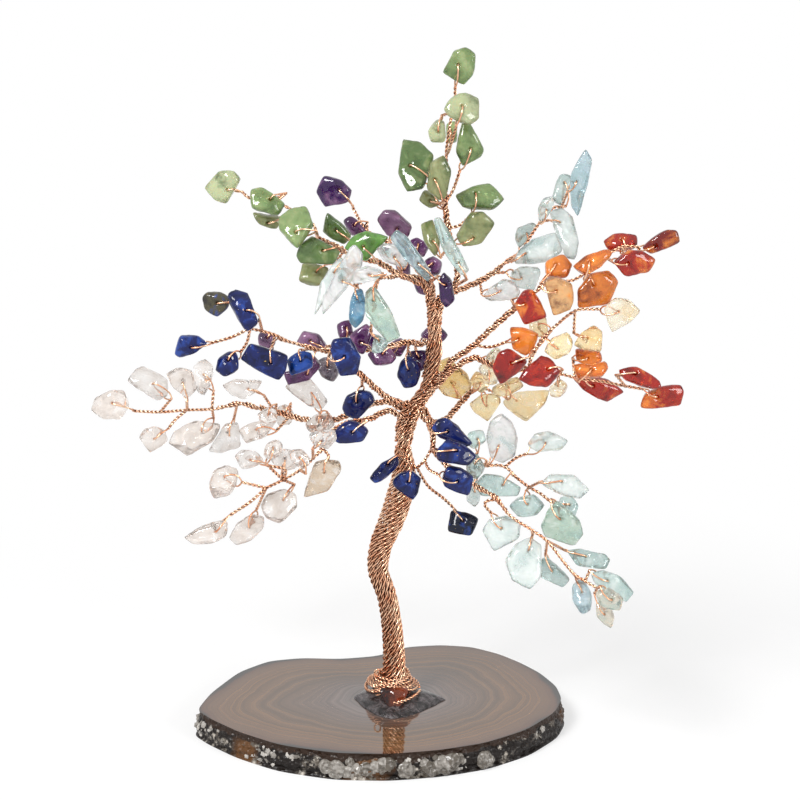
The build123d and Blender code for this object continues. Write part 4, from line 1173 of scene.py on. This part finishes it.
# %% Crust crystals
crystal_tries, lump_count = 2400, 24
crystal_sizes = (0.00035, 0.0005, 0.0007, 0.0011)
draw = random.Random("druse")
crystals = bmesh.new()
shine_layer = crystals.verts.layers.float.new("shine")
for _ in range(crystal_tries):
    spot = outline[draw.randrange(len(outline))]
    share = draw.uniform(0.28, 0.9)
    size = draw.choice(crystal_sizes) * draw.uniform(0.8, 1.2)
    place = spot + spot.normalized() * (crust_growth(share) * 0.6 - 0.0008)
    place.z = max(slice_top * (1 - share), size)
    if noise.noise(place * 90) < draw.uniform(-0.02, 0.3):
        continue
    made = bmesh.ops.create_icosphere(crystals, subdivisions=1, radius=size)["verts"]
    turn = Matrix.Rotation(draw.uniform(0, tau), 3, Vector((draw.random(), draw.random(), 1)).normalized())
    stretch = Vector((1, draw.uniform(0.6, 1), draw.uniform(0.6, 1.0)))
    shine = draw.random()
    for vert in made:
        vert.co = turn @ Vector(a * b for a, b in zip(vert.co, stretch)) + place
        vert[shine_layer] = shine
for _ in range(lump_count):
    angle = draw.uniform(radians(-118), radians(-45))
    spot = max(outline, key=lambda each: (each.x * cos(angle) + each.y * sin(angle)) / each.length)
    share = draw.uniform(0.35, 0.85)
    size = draw.uniform(0.0014, 0.003)
    place = spot + spot.normalized() * (crust_growth(share) - size * 0.6)
    place.z = max(slice_top * (1 - share), size)
    shine = draw.uniform(-0.1, 0.45)
    outward = Vector((spot.x, spot.y, 0)).normalized()
    for vert in bmesh.ops.create_icosphere(crystals, subdivisions=4, radius=size)["verts"]:
        vert.co = vert.co - outward * vert.co.dot(outward) * 0.3
        vert.co += place + outward * (noise.noise((vert.co + place) * 700) * 0.0009 - 0.0003)
        vert[shine_layer] = shine + noise.noise(vert.co * 1400) * 0.5
druse, tree, shader = finish("druse")
feed(tree, shader, {
    "Base Color": blended(tree, stored(tree, "shine"), "6a6258", "e8e2da"),
    "Roughness": ranged(tree, grained(tree, 1200.0, 2.0), 0.3, 0.7, 0.06, 0.3),
    "Transmission Weight": 0.35,
})
dress("crust_crystals", baked("crust_crystals", crystals), druse, "agate")

# %% [markdown]
# ## Glue
#
# Clear glue was run round the foot. It is a low puddle with two points, glossy and crumpled, smoky in front.
# Towards the back its colour is painted paler, a painted highlight along its back edge. The imported pad is
# copied, given one even skin and worn round, as a stone is. A drop of dark red glue sits in front of the
# windings.

# %% Glue puddle
puddle = worn(packed("glue_pad"), 3, 0.0005, 0.00012, 0.0)
for vert in puddle.verts:
    vert.co.z = max(vert.co.z, slice_top + 0.00002)
glue, tree, shader = finish("clear_glue")
crumple = grained(tree, 330.0, 5.0, 0.66, 1.5)
smoky = blended(tree, ranged(tree, crumple, 0.42, 0.64), "1a1415", "7b7274")
# The colour goes paler towards the back: a painted highlight along the glue's back edge
painted_back_highlight = ranged(tree, own_axis(tree, "Y"), -0.001, 0.004)
feed(tree, shader, {
    "Base Color": blended(tree, painted_back_highlight, smoky, "c4bdb4"),
    "Roughness": ranged(tree, crumple, 0.3, 0.7, 0.04, 0.2), "Transmission Weight": 0.4, "IOR": 1.48,
})
bumped(tree, shader, crumple, 0.0005, 0.8)
dress("glue_puddle", smoothed(baked("glue_puddle", puddle)), glue, "clear_glue", "glue_pad")

# %% Red drop in front of the windings
drop_width, drop_depth, drop_height = 0.0031, 0.0013, 0.003
drop_flare, drop_lean = 0.0021, 0.0014
drop_aside, drop_front, drop_middle = 0.0006, 0.0083, 0.0034
squareness = 3.5
drop = bmesh.new()
bmesh.ops.create_icosphere(drop, subdivisions=5, radius=1.0)
for vert in drop.verts:
    x, y, z = vert.co / sum(abs(part) ** squareness for part in vert.co) ** (1 / squareness)
    vert.co = above_slice(x * (drop_width + drop_flare * z), y * drop_depth + z * drop_lean - drop_front,
                          z * drop_height + drop_middle)
    vert.co += Vector((drop_aside, 0, 0)) + Vector((0, 1, 0)) * noise.noise(vert.co * 400) * 0.0006
red_glue, tree, shader = finish("red_glue")
veins = ranged(tree, grained(tree, 500.0, 3.0, 0.5, 0.8), 0.35, 0.65, -0.0015, 0.0015)
across = ranged(tree, worked(tree, "ADD", own_axis(tree, "X"), veins), -0.002, 0.004)
feed(tree, shader, {
    "Base Color": blended(tree, across, "2c0402", "b4501e"),
    "Roughness": ranged(tree, grained(tree, 700.0, 3.0), 0.3, 0.7, 0.02, 0.08), "Transmission Weight": 0.6,
})
dress("red_drop", smoothed(baked("red_drop", drop)), red_glue, "clear_glue")

# %% [markdown]
# ## Floor and light
#
# The tree stands on a white table in soft light. The floor is a plain white surface; what the camera, a
# gloss or a clear stone sees of it is lifted towards white, while the shadow on it stays. A large soft lamp
# stands to the upper left and a weaker one of the same size to the right, and the white room gives the rest.

# %% Stage
plain = bmesh.new()
bmesh.ops.create_grid(plain, x_segments=1, y_segments=1, size=3.0)
floor = linked("floor", baked("floor", plain))
white = (1, 1, 1, 1)


def lifted(tree, shader, kind, most, output):
    """Mixes white into a shader as far as the camera, a gloss or a clear stone sees it."""
    path = add(tree, "LightPath")
    share = path.outputs["Is Camera Ray"]
    for name in ("Is Glossy Ray", "Is Transmission Ray"):
        share = worked(tree, "MAXIMUM", share, path.outputs[name])
    light = add(tree, kind, {"Color": white, "Strength": 1.0})
    both = add(tree, "MixShader", {0: worked(tree, "MULTIPLY", share, most), 1: shader.outputs[0],
                                   2: light.outputs[0]})
    feed(tree, tree.nodes[output], {"Surface": both.outputs[0]})


table, tree, shader = finish("white_table")
feed(tree, shader, {"Base Color": (0.9, 0.9, 0.9, 1), "Roughness": 0.8, "Specular IOR Level": 0.2})
away = add(tree, "VectorMath", {0: own_place(tree)}, operation="LENGTH").outputs["Value"]
lifted(tree, shader, "Emission", ranged(tree, away, 0.09, 0.2, 0.55, 1.0), "Material Output")
floor.data.materials.append(table)

room = bpy.data.worlds.new("white_room")
scene.world = room
room.use_nodes = True
tree = room.node_tree
lifted(tree, feed(tree, tree.nodes["Background"], {"Color": white, "Strength": 0.5}), "Background", 1.0,
       "World Output")


def lamp(name, place, size, power):
    """A soft square lamp that points at the middle of the tree."""
    data = bpy.data.lights.new(name, "AREA")
    data.size = size
    data.energy = power
    made = linked(name, data)
    made.location = place
    made.rotation_euler = (Vector((0, 0, 0.1)) - Vector(place)).to_track_quat("-Z", "Y").to_euler()


lamp("key", (-0.6, -0.6, 1.0), 0.4, 13.0)
lamp("fill", (0.8, -0.6, 0.5), 0.4, 4.5)
scene.view_settings.view_transform = "Standard"
